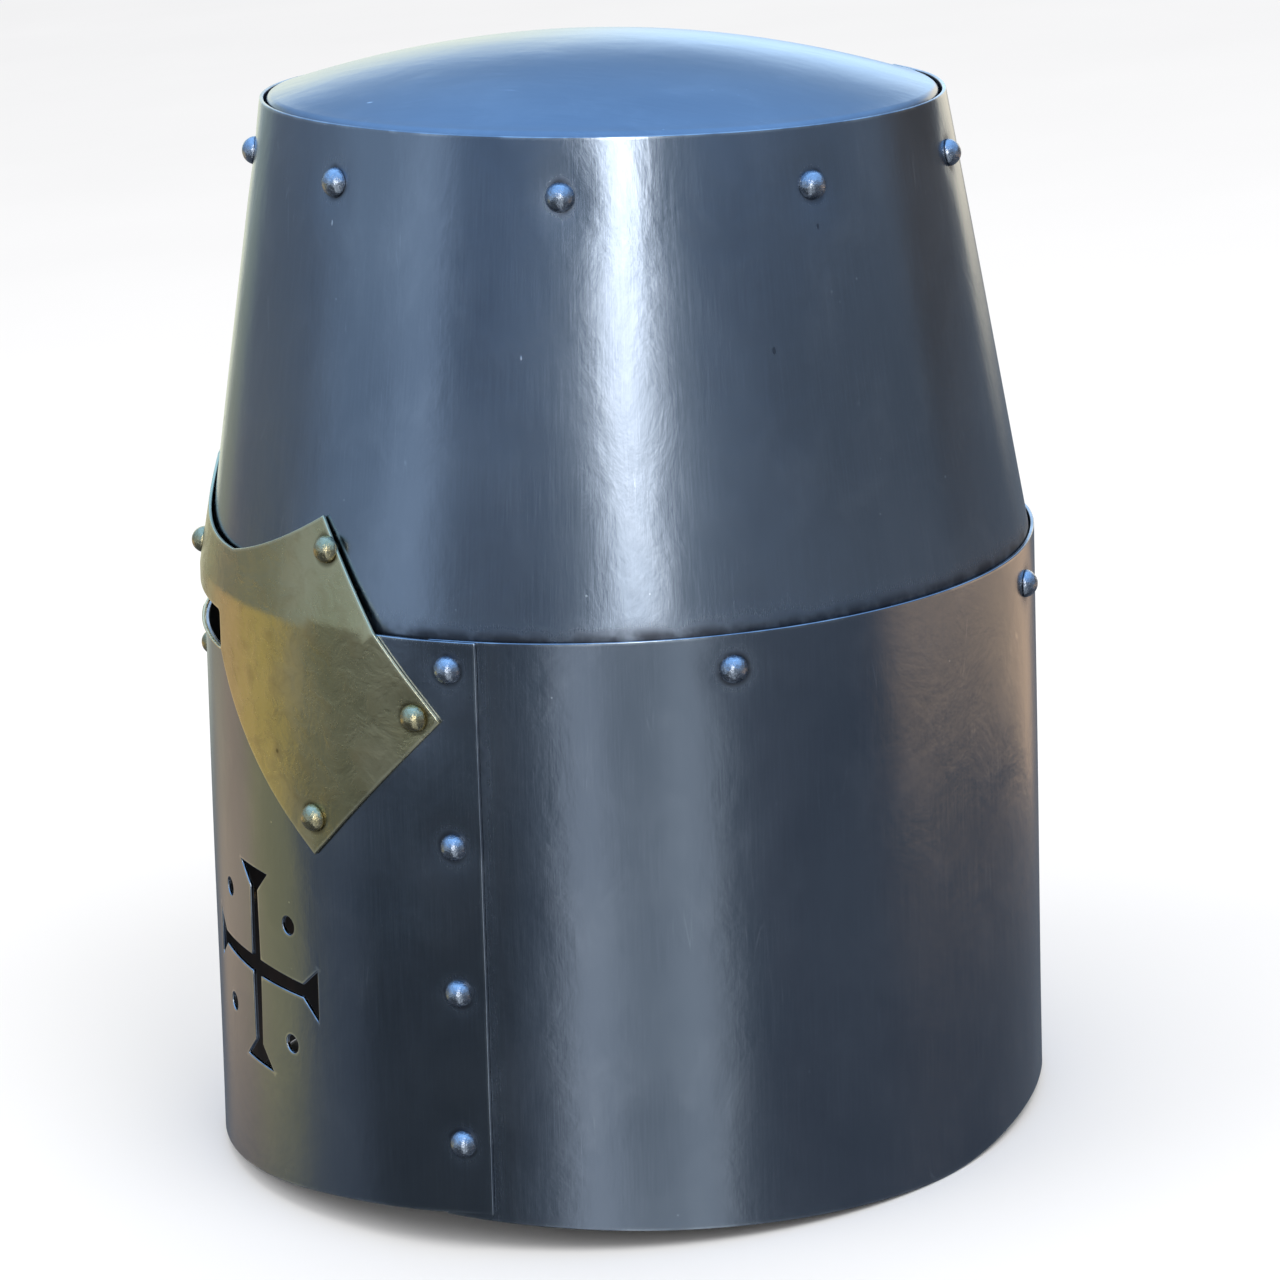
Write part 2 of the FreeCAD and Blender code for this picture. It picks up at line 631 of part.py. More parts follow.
def strap_hanger():
    """Steel plate under the second side rivet, with a headed pin for the strap."""
    out = normal_at(lower_wall, SIDE_RIVET_T, SIDE_RIVET_Z[1])
    depth = STEEL + HANGER_GAP + HANGER
    base = lower_wall(SIDE_RIVET_T, SIDE_RIVET_Z[1], -depth)
    side = Vec(0, 0, 1).cross(out)
    side.normalize()
    up = out.cross(side)
    frame = FreeCAD.Matrix(side.x, up.x, out.x, base.x, side.y, up.y, out.y, base.y,
                           side.z, up.z, out.z, base.z, 0, 0, 0, 1)
    plate = Part.makeBox(HANGER_WIDTH, HANGER_UP + HANGER_DOWN, HANGER,
                         Vec(-HANGER_WIDTH / 2.0, -HANGER_DOWN, 0))
    plate = plate.makeFillet(HANGER_CORNER_R, [e for e in plate.Edges if abs(e.Length - HANGER) < 0.01])
    plate = plate.transformed(frame)
    pin = strap_pin()
    shank = Part.makeCylinder(PIN_R, PIN_OUT + PIN_ROOT, pin + Vec(PIN_ROOT, 0, 0), Vec(-1, 0, 0))
    head = Part.makeCylinder(PIN_HEAD_R, PIN_HEAD_H, pin - Vec(PIN_OUT, 0, 0), Vec(-1, 0, 0))
    return plate.fuse([shank, head])


def eyelet():
    """Metal eyelet set in the strap; it turns on the hanger's pin."""
    pin = strap_pin()
    start = pin - Vec(EYELET_OUT, 0, 0)
    between = STRAP + 2 * EYELET_SIDE
    length = between + 2 * EYELET_FLANGE
    barrel = Part.makeCylinder(EYELET_R, length, start, Vec(-1, 0, 0))
    for shift in (0.0, between + EYELET_FLANGE):
        flange = Part.makeCylinder(EYELET_FLANGE_R, EYELET_FLANGE, start - Vec(shift, 0, 0), Vec(-1, 0, 0))
        barrel = barrel.fuse(flange)
    bore = Part.makeCylinder(PIN_R + PIN_CLEARANCE, 2 * length, pin, Vec(-1, 0, 0))
    return barrel.cut(bore)


def ribbon(route, radius, y):
    """A strap of leather along a route of (x, z) points, its corners rounded."""
    def offset_line(side):
        points = []
        for k, (x, z) in enumerate(route):
            dirs = []
            for a, b in ((k - 1, k), (k, k + 1)):
                if 0 <= a and b < len(route):
                    step = Vec(route[b][0] - route[a][0], 0, route[b][1] - route[a][1])
                    step.normalize()
                    dirs.append(step)
            mean = dirs[0] + dirs[-1]
            mean.normalize()
            across = Vec(-mean.z, 0, mean.x)
            reach = side * STRAP / 2.0 / mean.dot(dirs[0])
            points.append(Vec(x, y - STRAP_WIDTH / 2.0, z) + across * reach)
        return points

    def rounded(points, side):
        edges = []
        last = points[0]
        for before, corner, after in zip(points, points[1:], points[2:]):
            first = before - corner
            second = after - corner
            first.normalize()
            second.normalize()
            turn = first.getAngle(second)
            bend_side = 1.0 if first.cross(second).y < 0 else -1.0
            bend = radius - side * bend_side * STRAP / 2.0
            run = bend / math.tan(turn / 2.0)
            start = corner + first * run
            end = corner + second * run
            bisector = first + second
            bisector.normalize()
            middle = corner + bisector * (bend / math.sin(turn / 2.0) - bend)
            edges.append(Part.LineSegment(last, start).toShape())
            edges.append(Part.Arc(start, middle, end).toShape())
            last = end
        edges.append(Part.LineSegment(last, points[-1]).toShape())
        return edges

    left = offset_line(1.0)
    right = offset_line(-1.0)
    edges = rounded(left, 1.0)
    edges.append(Part.LineSegment(left[-1], right[-1]).toShape())
    edges += rounded(right, -1.0)
    edges.append(Part.LineSegment(right[0], left[0]).toShape())
    outline = Part.Wire(Part.__sortEdges__(edges))
    return Part.Face(outline).extrude(Vec(0, STRAP_WIDTH, 0))


def strap_levels():
    """Heights of the strap's bottom run and the buckle bar, and the bar's fold radius."""
    pin = strap_pin()
    bottom = pin.z - STRAP_LOW
    fold = BUCKLE_WIRE / 2.0 + FOLD_GAP + STRAP
    bar = bottom + STRAP / 2.0 + WIRE_GAP + fold
    far = bottom - STRAP / 2.0 - WIRE_GAP - BUCKLE_WIRE / 2.0
    return pin, bottom, bar, far, fold


def strap_top(pin):
    """x of the strap's middle where it hangs from its eyelet."""
    return pin.x - EYELET_OUT - EYELET_FLANGE - STRAP / 2.0


def chin_strap_right():
    """Long tongue end, from the wearer's right, through the buckle."""
    pin, bottom = strap_levels()[:2]
    x = strap_top(pin)
    route = [(-x, pin.z + STRAP_OVER_PIN), (-x, pin.z - LONG_END_STRAIGHT),
             (-x + LONG_END_SLANT, bottom), (LONG_END_TIP_X, bottom)]
    strap = ribbon(route, LONG_END_BEND_R, pin.y)
    low = bottom - THROUGH / 2.0
    tools = [eyelet_hole(-x, pin)]
    long_way, wide = PRONG_SLOT
    tools.append(Part.makeBox(long_way, wide, THROUGH, Vec(PRONG_SLOT_X, pin.y - wide / 2.0, low)))
    for spare_x in SPARE_HOLE_X:
        tools.append(Part.makeCylinder(SPARE_HOLE_R, THROUGH, Vec(spare_x, pin.y, low)))
    return strap.cut(tools).Solids[0]


def eyelet_hole(x, pin):
    return Part.makeCylinder(EYELET_R + LEATHER_HOLE_PLAY, THROUGH,
                             Vec(x - THROUGH / 2.0, pin.y, pin.z), Vec(1, 0, 0))


def chin_strap_left():
    """Short end, from the wearer's left, folded round the buckle bar."""
    pin, bottom, bar, far, fold = strap_levels()
    x = strap_top(pin)
    mid = fold - STRAP / 2.0
    route = [(x, pin.z + STRAP_OVER_PIN), (x, pin.z - SHORT_END_STRAIGHT),
             (x - SHORT_END_SLANT, bar + mid), (BUCKLE_BAR_X, bar + mid)]
    strap = ribbon(route, SHORT_END_BEND_R, pin.y)
    edge_y = pin.y - STRAP_WIDTH / 2.0
    low_run = Part.makeBox(FOLD_RUN, STRAP_WIDTH, STRAP, Vec(BUCKLE_BAR_X, edge_y, bar - fold))
    start = Vec(BUCKLE_BAR_X, edge_y, bar)
    bend = Part.makeCylinder(fold, STRAP_WIDTH, start, Vec(0, 1, 0))
    bend = bend.cut(Part.makeCylinder(fold - STRAP, STRAP_WIDTH, start, Vec(0, 1, 0)))
    bend = bend.cut(Part.makeBox(2 * fold, STRAP_WIDTH, 4 * fold, start - Vec(0, 0, 2 * fold)))
    stitched = Part.makeBox(STITCH_RUN, STRAP_WIDTH, 2 * (fold - STRAP),
                            Vec(BUCKLE_BAR_X + STITCH_START, edge_y, bar - fold + STRAP))
    long_way, wide = FOLD_SLOT
    prong_slot = Part.makeBox(long_way, wide, 4 * fold, Vec(BUCKLE_BAR_X - FOLD_SLOT_BEFORE,
                                                            pin.y - wide / 2.0, bar - 2 * fold))
    return strap.fuse([low_run, bend, stitched]).cut([prong_slot, eyelet_hole(x, pin)]).Solids[0]


def rod(start, end, r):
    return Part.makeCylinder(r, (end - start).Length, start, end - start)


def buckle_frame():
    """Round-wire rectangular buckle."""
    pin, bottom, bar, far = strap_levels()[:4]
    r = BUCKLE_WIRE / 2.0
    corners = []
    for x, z, sign in ((BUCKLE_BAR_X, bar, -1), (BUCKLE_BAR_X, bar, 1), (BUCKLE_FAR_X, far, 1),
                       (BUCKLE_FAR_X, far, -1)):
        corners.append(Vec(x, pin.y + sign * BUCKLE_HALF_Y, z))
    parts = [rod(a, b, r) for a, b in zip(corners, corners[1:] + corners[:1])]
    parts += [Part.makeSphere(r, corner) for corner in corners]
    return parts[0].fuse(parts[1:]).removeSplitter()


def buckle_prong():
    """Prong that turns on the buckle bar and rests across the far side."""
    pin, bottom, bar, far = strap_levels()[:4]
    hub_width, hub_wall = PRONG_HUB
    wire_r = BUCKLE_WIRE / 2.0
    hub_at = Vec(BUCKLE_BAR_X, pin.y - hub_width / 2.0, bar)
    hub = Part.makeCylinder(wire_r + hub_wall, hub_width, hub_at, Vec(0, 1, 0))
    root = Vec(BUCKLE_BAR_X, pin.y, bar)
    tip = Vec(BUCKLE_FAR_X - PRONG_PAST, pin.y, far - wire_r - PRONG_R - PRONG_CLEAR)
    finger = rod(root + (tip - root) * PRONG_FROM, tip, PRONG_R)
    bore_at = hub_at - Vec(0, hub_width, 0)
    bore = Part.makeCylinder(wire_r + PIN_CLEARANCE, 3 * hub_width, bore_at, Vec(0, 1, 0))
    return hub.fuse([finger, Part.makeSphere(PRONG_R, tip)]).cut(bore)


def strap_keeper():
    """Leather loop that holds the tongue end against the short end."""
    pin, bottom, bar, far, fold = strap_levels()
    x = BUCKLE_BAR_X + KEEPER_X
    low = bottom - STRAP / 2.0 - KEEPER_GAP
    high = bar + fold + KEEPER_GAP
    half = STRAP_WIDTH / 2.0 + KEEPER_GAP
    outer = Part.makeBox(KEEPER_WIDTH, 2 * (half + KEEPER_WALL), high - low + 2 * KEEPER_WALL,
                         Vec(x, pin.y - half - KEEPER_WALL, low - KEEPER_WALL))
    inner = Part.makeBox(KEEPER_WIDTH, 2 * half, high - low, Vec(x, pin.y - half, low))
    return outer.cut(inner)


# ---- Assembly ----

def stand(shape):
    """Lean the helm back about X, then set it on the floor over the origin."""
    placed = shape.copy()
    placed.rotate(Vec(0, 0, 0), Vec(1, 0, 0), -LEAN_DEG)
    placed.translate(Vec(0, CENTRE_SHIFT, LIFT))
    return placed


def plumb(shape):
    """Turn the chin strap about its pins, so that it hangs plumb in the leaning helm."""
    placed = shape.copy()
    placed.rotate(strap_pin(), Vec(1, 0, 0), LEAN_DEG)
    return placed


def build():
    places = rivet_places()
    flat_places = [place for group in places.values() for place in group]
    left_side = places["side"]
    right_side = [(wall, -t, z, out, grip) for wall, t, z, out, grip in left_side]
    every = flat_places + right_side

    def grouped(group):
        return Part.makeCompound([rivet(place) for place in group])

    nodes = {
        "crown_plate": drill(crown_plate(), places["crown"]),
        "skull_plate": drill(skull_plate(), every),
        "face_plate": drill(face_plate(), every),
        "nape_plate": drill(nape_plate(), every),
        "brass_cross": drill(brass_cross(), places["cross"]),
        "crown_rivets": grouped(places["crown"]),
        "skull_lap_rivets": grouped(places["lap"]),
        "side_rivets_left": grouped(left_side),
        "side_rivets_right": grouped(right_side),
        "rim_rivets": grouped(places["rim"]),
        "cross_rivets": grouped(places["cross"]),
        "liner_band": drill(liner_band(), every),
        "liner_lace": liner_lace(),
    }
    for index in range(TONGUES):
        nodes["liner_tongue_%d" % (index + 1)] = liner_tongue(index)
    second_rivet = [left_side[1]]
    nodes["strap_hanger_left"] = drill(strap_hanger(), second_rivet)
    nodes["strap_hanger_right"] = mirrored(nodes["strap_hanger_left"])
    nodes["strap_eyelet_left"] = eyelet()
    nodes["strap_eyelet_right"] = mirrored(eyelet())
    hanging = {"chin_strap_left": chin_strap_left, "chin_strap_right": chin_strap_right,
               "buckle_frame": buckle_frame, "buckle_prong": buckle_prong, "strap_keeper": strap_keeper}
    for name, make in hanging.items():
        nodes[name] = plumb(make())
    return nodes


os.makedirs("parts", exist_ok=True)
nodes = build()
whole = FreeCAD.BoundBox()
for name, shape in nodes.items():
    placed = stand(shape)
    placed.exportStep("parts/%s.step" % name)
    whole.add(placed.optimalBoundingBox(False, False))
    facts = (name, len(placed.Solids), placed.isValid(), placed.Volume)
    print("%-20s solids %2d valid %s volume %9.2f" % facts)
pin = stand(Part.Vertex(strap_pin())).Point
print("strap pins at X +-%.3f, Y %.3f, Z %.3f" % (pin.x, pin.y, pin.z))
print("box X %.2f to %.2f, Y %.2f to %.2f, Z %.2f to %.2f" % (
    whole.XMin, whole.XMax, whole.YMin, whole.YMax, whole.ZMin, whole.ZMax))
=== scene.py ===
import math

import bpy
import numpy as np
from mathutils import Matrix, Vector, kdtree
from mathutils.geometry import delaunay_2d_cdt


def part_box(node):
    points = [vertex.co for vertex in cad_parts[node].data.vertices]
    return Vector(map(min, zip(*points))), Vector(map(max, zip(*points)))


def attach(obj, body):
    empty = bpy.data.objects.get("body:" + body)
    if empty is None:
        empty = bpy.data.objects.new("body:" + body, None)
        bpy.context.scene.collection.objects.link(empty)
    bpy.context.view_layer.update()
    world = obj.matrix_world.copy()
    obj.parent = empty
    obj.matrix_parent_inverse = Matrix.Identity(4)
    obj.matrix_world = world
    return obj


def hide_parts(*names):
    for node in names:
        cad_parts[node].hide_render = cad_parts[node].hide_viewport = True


# Great helm of riveted sheet steel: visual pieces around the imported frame.
# Plates are laid out in helm axes and millimetres (X to the wearer's left, -Y to the face, Z = 0 at
# the nape edge), then stood on the floor by the matrix STAND, which also turns them into metres.
# Angles t run round the plan ellipse from the face (0) towards the wearer's left (+90).

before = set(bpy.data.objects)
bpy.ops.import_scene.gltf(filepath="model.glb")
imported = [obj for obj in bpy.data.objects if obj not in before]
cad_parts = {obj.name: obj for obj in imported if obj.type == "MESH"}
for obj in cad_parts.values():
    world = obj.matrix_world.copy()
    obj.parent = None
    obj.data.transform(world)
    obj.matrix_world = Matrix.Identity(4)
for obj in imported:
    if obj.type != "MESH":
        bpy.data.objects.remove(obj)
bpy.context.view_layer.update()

MM = 0.001

# ---- How the helm stands ----
LEAN_DEG = 4.56
CENTRE_SHIFT = -5.17
LIFT = 9.07
STAND = (Matrix.Diagonal((MM, MM, MM, 1.0)) @ Matrix.Translation((0, CENTRE_SHIFT, LIFT))
         @ Matrix.Rotation(math.radians(-LEAN_DEG), 4, "X"))

# ---- Plan sizes (half length, half width) and heights ----
RIM_HALF = (124.4, 110.0)
HEM_HALF = (129.0, 113.0)
SKULL_HALF = (123.05, 108.65)
TOP_HALF = (99.1, 84.9)
TOP_FORWARD = 0.7
RIM_MEAN = 171.5
RIM_TILT = 4.5
TOP_Z = 303.5
DOME_RISE = 15.5
CROWN_SHOULDER = 0.9
CROWN_EDGE_SHARE = 0.972
CROWN_BEND_R = 2.6
CROWN_SKIRT = 27.0
CROWN_WAVE = 0.6
SKULL_TUCK = 30.0
FACE_HEM_SIDE = 2.7
FACE_HEM_DIP = 22.0
FACE_HEM_POWER = 1.3
NAPE_HEM_RISE = 4.6
NAPE_RISE_FROM = math.cos(math.radians(30.0))

# ---- Sheet, seams and laps ----
STEEL = 1.2
BRASS = 1.0
GAP = 0.05
SEAM_T = 88.9
NAPE_FRONT_T = 82.2
LAP_LIFT = STEEL + GAP
LAP_BLEND_T = (62.0, 81.0)
SKULL_LAP_AT = 220.0
SKULL_LAP_T = 4.5
SKULL_LAP_BLEND_T = 26.0
NAPE_SWELL_T = (14.0, 36.0)
RELIEF_X = 77.5
RELIEF_TOP = 163.6

# ---- Rivets ----
CROWN_RIVET_DROP = 15.5
CROWN_RIVET_Z = TOP_Z - CROWN_RIVET_DROP
CROWN_RIVET_COUNT = 9
CROWN_RIVET_T = [180.0 + 360.0 * k / CROWN_RIVET_COUNT for k in range(CROWN_RIVET_COUNT)]
CROWN_LAP_RIVET = 1
LAP_RIVET_Z = (254.0, 219.0)
SIDE_RIVET_T = 85.1
SIDE_RIVET_Z = (163.1, 112.1, 68.9, 23.4)
RIM_RIVETS = ((180.0, 164.5), (121.4, 164.0), (-121.4, 164.0))
BROW_RIVETS = ((18.0, 171.3), (65.5, 190.5))
CHEEK_RIVETS = ((10.8, 134.5), (63.0, 112.1), (80.4, 148.5))
CHIN_RIVET_Z = 42.0
HEAD_R = 4.0
HEAD_H = 3.6
TAIL_R = 3.2
TAIL_H = 1.3
SHANK_R = 2.0
TAIL_GAP = 0.1
HANGER = 1.5
HANGER_GAP = 0.35

# ---- Eye slots, breaths and cross ----
SLOT_T = (8.0, 40.0)
SLOT_Z = (150.0, 162.0)
SLOT_CORNER_R = 1.2
CROSS_SLOT_SILL = 0.35
VENT_T = 47.2
VENT_Z = 56.5
VENT_ARM = 31.0
VENT_BAR = 5.0
VENT_FLARE = 16.0
VENT_FLARE_DEPTH = 6.5
VENT_HOLE_R = 2.75
VENT_HOLE_AT = 18.5
CROSS_TOP_MID = (43.1, 181.6)
CROSS_TOP_PEAK = 206.0
CROSS_TOP_SAG = 1.4
CROSS_ARM_SAG = 2.0
CROSS_BROW = (14.0, 196.0)
CROSS_BROW_MID = (26.0, 184.6)
CROSS_UPPER = (64.1, 199.3)
CROSS_BEND_T = 75.0
CROSS_TIP = (84.0, 148.1)
CROSS_LOWER = (62.9, 100.9)
CROSS_LOWER_MID = (48.6, 126.5)
CROSS_REACH_Z = 36.0
CROSS_REACH_GAP = 0.12
CHIN_ARM_ROOT = (32.0, 150.0)
CHIN_ARM_WAIST = (15.0, 104.0)
CHIN_ARM_FLARE = (27.0, 47.0)
CHIN_ARM_POINT_Z = 22.0

# ---- Liner ----
LEATHER = 2.4
LINER_GAP = 0.3
BAND_BOTTOM = 158.0
BAND_TOP_OVER_RIM = 34.0
TONGUES = 8
TONGUE_BASE_T = 21.5
TONGUE_TIP_T = 13.0
TONGUE_TOP_Z = 266.0
TONGUE_TOP_HALF = (24.0, 20.0)
TONGUE_START = 25.5
TONGUE_SLOPE = 0.3
SEWN_GAP = 0.15
LACE_RING_R = 22.0
LACE_R = 1.6

TONGUE_ROUND = 2.2
TONGUE_LENGTH = 105.0
TONGUE_HALF = (39.0, 5.5)
THREAD = 0.75

# ---- Chin strap, in the row frame ----
STRAP_WIDTH = 18.0
STRAP = 1.8
STRAP_LOW = 72.0
STRAP_OVER_PIN = 9.0
LONG_END_BEND_R = 34.0
LONG_END_STRAIGHT = 24.0
LONG_END_SLANT = 52.0
LONG_END_TIP_X = 58.0
SHORT_END_BEND_R = 30.0
SHORT_END_STRAIGHT = 16.0
SHORT_END_SLANT = 34.0
FOLD_RUN = 16.0
PRONG_SLOT = (11.0, 3.6)
PRONG_SLOT_X = 13.6
FOLD_SLOT = (8.0, 4.6)
SPARE_HOLE_X = (44.0, 36.0)
SPARE_HOLE_R = 1.4
EYELET_R = 4.0
EYELET_OUT = 0.6
EYELET_FLANGE = 0.5
WIRE_GAP = 0.3
FOLD_GAP = 0.15
BUCKLE_BAR_X = 28.0
BUCKLE_WIRE = 2.5
KEEPER_X = 18.0
KEEPER_WIDTH = 7.0
KEEPER_WALL = 1.6
KEEPER_GAP = 0.3
STRAP_STITCH = 3.2
STRAP_STITCH_STEP = 4.6
STRAP_STITCH_INSET = 2.3
STRAP_THREAD = 0.6
IN_ROW_FRAME = Matrix.Diagonal((MM, MM, MM, 1.0))

# ---- Camera, found in helm axes ----
CAM_AZIMUTH = 108.93
CAM_DISTANCE = 955.96
CAM_HEIGHT = 443.61
CAM_YAW = -0.0071
CAM_PITCH = 0.3097
CAM_ROLL = -0.0255
SENSOR = 36.0
LENS = 93.8

# ---- Mesh fineness ----
GRID = 3.0
EDGE_STEP = 1.5
EDGE_R = 0.34
ROW_PITCH = 0.866
SUPPORT_INSET = 1.3
SUPPORT_CLEAR = 1.05
RIVET_RINGS = (4.3, 5.6, 7.4, 9.6)
RIVET_RING_COUNT = 20
RIVET_RING_CLEAR = 1.8
EDGE_WEAR = 0.9

# ---- Handwork: long waves in the sheet and dimples under the rivets ----
WAVE = 0.13
WAVE_SEED = 7
WAVE_COUNT = 14
WAVE_RISE = 0.055
DIMPLE_DEPTH = 0.3
DIMPLE_R = 6.0


DIMPLES = [(t, CROWN_RIVET_Z) for t in CROWN_RIVET_T]
DIMPLES += [(SKULL_LAP_AT, z) for z in LAP_RIVET_Z]
DIMPLES += [(sign * SIDE_RIVET_T, z) for z in SIDE_RIVET_Z for sign in (1, -1)]
DIMPLES += list(RIM_RIVETS)
DIMPLES += [(sign * t, z) for t, z in BROW_RIVETS + CHEEK_RIVETS for sign in (1, -1)]
DIMPLES.append((0.0, CHIN_RIVET_Z))


# ---------------------------------------------------------------- walls

def smooth(value, start, end):
    share = np.clip((np.asarray(value, float) - start) / (end - start), 0.0, 1.0)
    return share * share * (3.0 - 2.0 * share)


def unit(vectors):
    """Each row brought to length one."""
    return vectors / np.linalg.norm(vectors, axis=-1)[..., None]


def ring_angle(t):
    return (np.asarray(t, float) + 180.0) % 360.0 - 180.0


def rim_z(t):
    return RIM_MEAN - RIM_TILT * np.cos(np.radians(t))


def face_hem_z(t):
    return FACE_HEM_SIDE - FACE_HEM_DIP * np.maximum(0.0, np.cos(np.radians(t))) ** FACE_HEM_POWER


def nape_hem_z(t):
    share = (-np.cos(np.radians(t)) - NAPE_RISE_FROM) / (1.0 - NAPE_RISE_FROM)
    return NAPE_HEM_RISE * np.maximum(0.0, share) ** 2


def face_lift(t):
    return LAP_LIFT * smooth(np.abs(ring_angle(t)), *LAP_BLEND_T)


def nape_lift(t):
    near, far = NAPE_SWELL_T
    return (LAP_LIFT + GAP) * smooth(-np.abs(ring_angle(np.asarray(t, float) - SKULL_LAP_AT)), -far, -near)


def skull_lift(t):
    end = SKULL_LAP_AT - SKULL_LAP_T - 1.0
    return LAP_LIFT * smooth(t, SKULL_LAP_AT - SKULL_LAP_BLEND_T, end)


def ripples():
    """Sizes and phases of the long waves left in hand-rolled sheet."""
    rng = np.random.default_rng(WAVE_SEED)
    found = []
    for _ in range(WAVE_COUNT):
        turns = rng.integers(1, 9)
        rise = rng.uniform(-WAVE_RISE, WAVE_RISE)
        size = rng.uniform(0.3, 1.0) / (1.0 + 0.25 * turns + 18.0 * abs(rise))
        found.append((turns, rise, rng.uniform(0.0, 2.0 * math.pi), size))
    return found


RIPPLES = ripples()


def hand_wave(t, z):
    """Unevenness of the sheet, the same for every layer: long waves, and dimples at the rivets."""
    t, z = np.broadcast_arrays(np.asarray(t, float), np.asarray(z, float))
    a = np.radians(t)
    total = np.zeros(t.shape)
    for turns, rise, phase, size in RIPPLES:
        total = total + WAVE * size * np.sin(turns * a + rise * z + phase)
    for rivet_t, rivet_z in DIMPLES:
        away = rivet_distance(t, z, rivet_t, rivet_z)
        total = total - DIMPLE_DEPTH * np.exp(-away ** 2 / (2.0 * DIMPLE_R ** 2))
    return total


def rivet_distance(t, z, rivet_t, rivet_z):
    """Distance along the sheet, near enough, from a rivet."""
    around = np.radians(ring_angle(t - rivet_t)) * 0.5 * (RIM_HALF[0] + RIM_HALF[1])
    return np.hypot(around, z - rivet_z)


def ellipse_point(length, width, t, z, forward=0.0):
    angle = np.radians(t)
    return np.stack(np.broadcast_arrays(width * np.sin(angle), -length * np.cos(angle) - forward, z), -1)


def lower_wall(t, z, out=0.0):
    share = 1.0 - z / RIM_MEAN
    out = out + hand_wave(t, z)
    return ellipse_point(RIM_HALF[0] + (HEM_HALF[0] - RIM_HALF[0]) * share + out,
                         RIM_HALF[1] + (HEM_HALF[1] - RIM_HALF[1]) * share + out, t, z)


def nape_wall(t, z, out=0.0):
    return lower_wall(t, z, out + nape_lift(t))


def skull_wall(t, z, out=0.0):
    bend = rim_z(t)
    share = np.maximum(0.0, (z - bend) / (TOP_Z - bend))
    out = out + hand_wave(t, z)
    return ellipse_point(SKULL_HALF[0] + (TOP_HALF[0] - SKULL_HALF[0]) * share + out,
                         SKULL_HALF[1] + (TOP_HALF[1] - SKULL_HALF[1]) * share + out, t, z,
                         TOP_FORWARD * share)


def cross_wall(t, z, out=0.0):
    bend = rim_z(t)
    over = np.maximum(0.0, z - bend) / CROSS_REACH_Z
    low = lower_wall(t, np.minimum(z, bend), face_lift(t) + GAP + out)
    high = skull_wall(t, bend + CROSS_REACH_Z, CROSS_REACH_GAP + out)
    return low + (high - low) * over[..., None]


# ---------------------------------------------------------------- arc length along the rim

TABLE_T = np.linspace(-200.0, 380.0, 5801)
_step = np.radians(TABLE_T[1] - TABLE_T[0])
_speed = np.hypot(RIM_HALF[0] * np.sin(np.radians(TABLE_T)), RIM_HALF[1] * np.cos(np.radians(TABLE_T)))
TABLE_S = np.concatenate([[0.0], np.cumsum(0.5 * (_speed[1:] + _speed[:-1]) * _step)])
TABLE_S = TABLE_S - np.interp(0.0, TABLE_T, TABLE_S)


def s_of(t):
    return np.interp(t, TABLE_T, TABLE_S)


def t_of(s):
    return np.interp(s, TABLE_S, TABLE_T)


# ---------------------------------------------------------------- mesh making

def put(name, verts, faces, normals=None, sheet=None, edge=None, painted_shade=None, place=STAND):
    """An object in the row frame, from points in helm axes or in those that place stands for."""
    stand = np.array(place)
    world = verts @ stand[:3, :3].T + stand[:3, 3]
    mesh = bpy.data.meshes.new(name)
    mesh.from_pydata(world.tolist(), [], faces)
    mesh.update()
    mesh.shade_smooth()
    # The third layer holds painted shade: darkening round rivet heads, along the seams and above the rim
    # step.
    layers = (("sheet", "FLOAT_VECTOR", "vector", sheet), ("edge", "FLOAT", "value", edge),
              ("painted_shade", "FLOAT", "value", painted_shade))
    for label, kind, key, values in layers:
        if values is not None:
            layer = mesh.attributes.new(label, kind, "POINT")
            layer.data.foreach_set(key, np.asarray(values, np.float32).ravel())
    if normals is not None:
        turned = normals @ (stand[:3, :3].T / MM)
        mesh.normals_split_custom_set_from_vertices(turned.tolist())
    obj = bpy.data.objects.new(name, mesh)
    bpy.context.scene.collection.objects.link(obj)
    return obj


def resample(points, step):
    """Points along a closed outline no more than step apart; its corners are kept."""
    found = []
    for here, there in zip(points, points[1:] + points[:1]):
        count = max(1, int(math.ceil(math.dist(here, there) / step)))
        for k in range(count):
            share = k / count
            found.append((here[0] + (there[0] - here[0]) * share, here[1] + (there[1] - here[1]) * share))
    return np.array(found)


def outward(loop, is_hole):
    """At each point of a loop, the flat direction out of the material, lengthened at corners."""
    area = 0.5 * np.sum(loop[:, 0] * np.roll(loop[:, 1], -1) - np.roll(loop[:, 0], -1) * loop[:, 1])
    step = np.roll(loop, -1, 0) - loop
    side = unit(np.stack([step[:, 1], -step[:, 0]], -1))
    if (area < 0) != is_hole:
        side = -side
    both = unit(side + np.roll(side, 1, 0))
    return both, 1.0 / np.maximum(0.5, np.sum(both * side, 1))


def inside(points, loops):
    """Which points lie within the loops, by the even-odd rule."""
    odd = np.zeros(len(points), bool)
    for loop in loops:
        following = np.roll(loop, -1, 0)
        for (x0, y0), (x1, y1) in zip(loop, following):
            if y0 == y1:
                continue
            hits = (y0 > points[:, 1]) != (y1 > points[:, 1])
            hits &= points[:, 0] < (x1 - x0) * (points[:, 1] - y0) / (y1 - y0) + x0
            odd ^= hits
    return odd


def surface_frame(surface, a, b, delta):
    """Points of a surface, its slopes along the two flat directions, and its outward normals."""
    along = surface(a + delta, b) - surface(a - delta, b)
    up = surface(a, b + delta) - surface(a, b - delta)
    return surface(a, b), along / (2 * delta), up / (2 * delta), unit(np.cross(along, up))


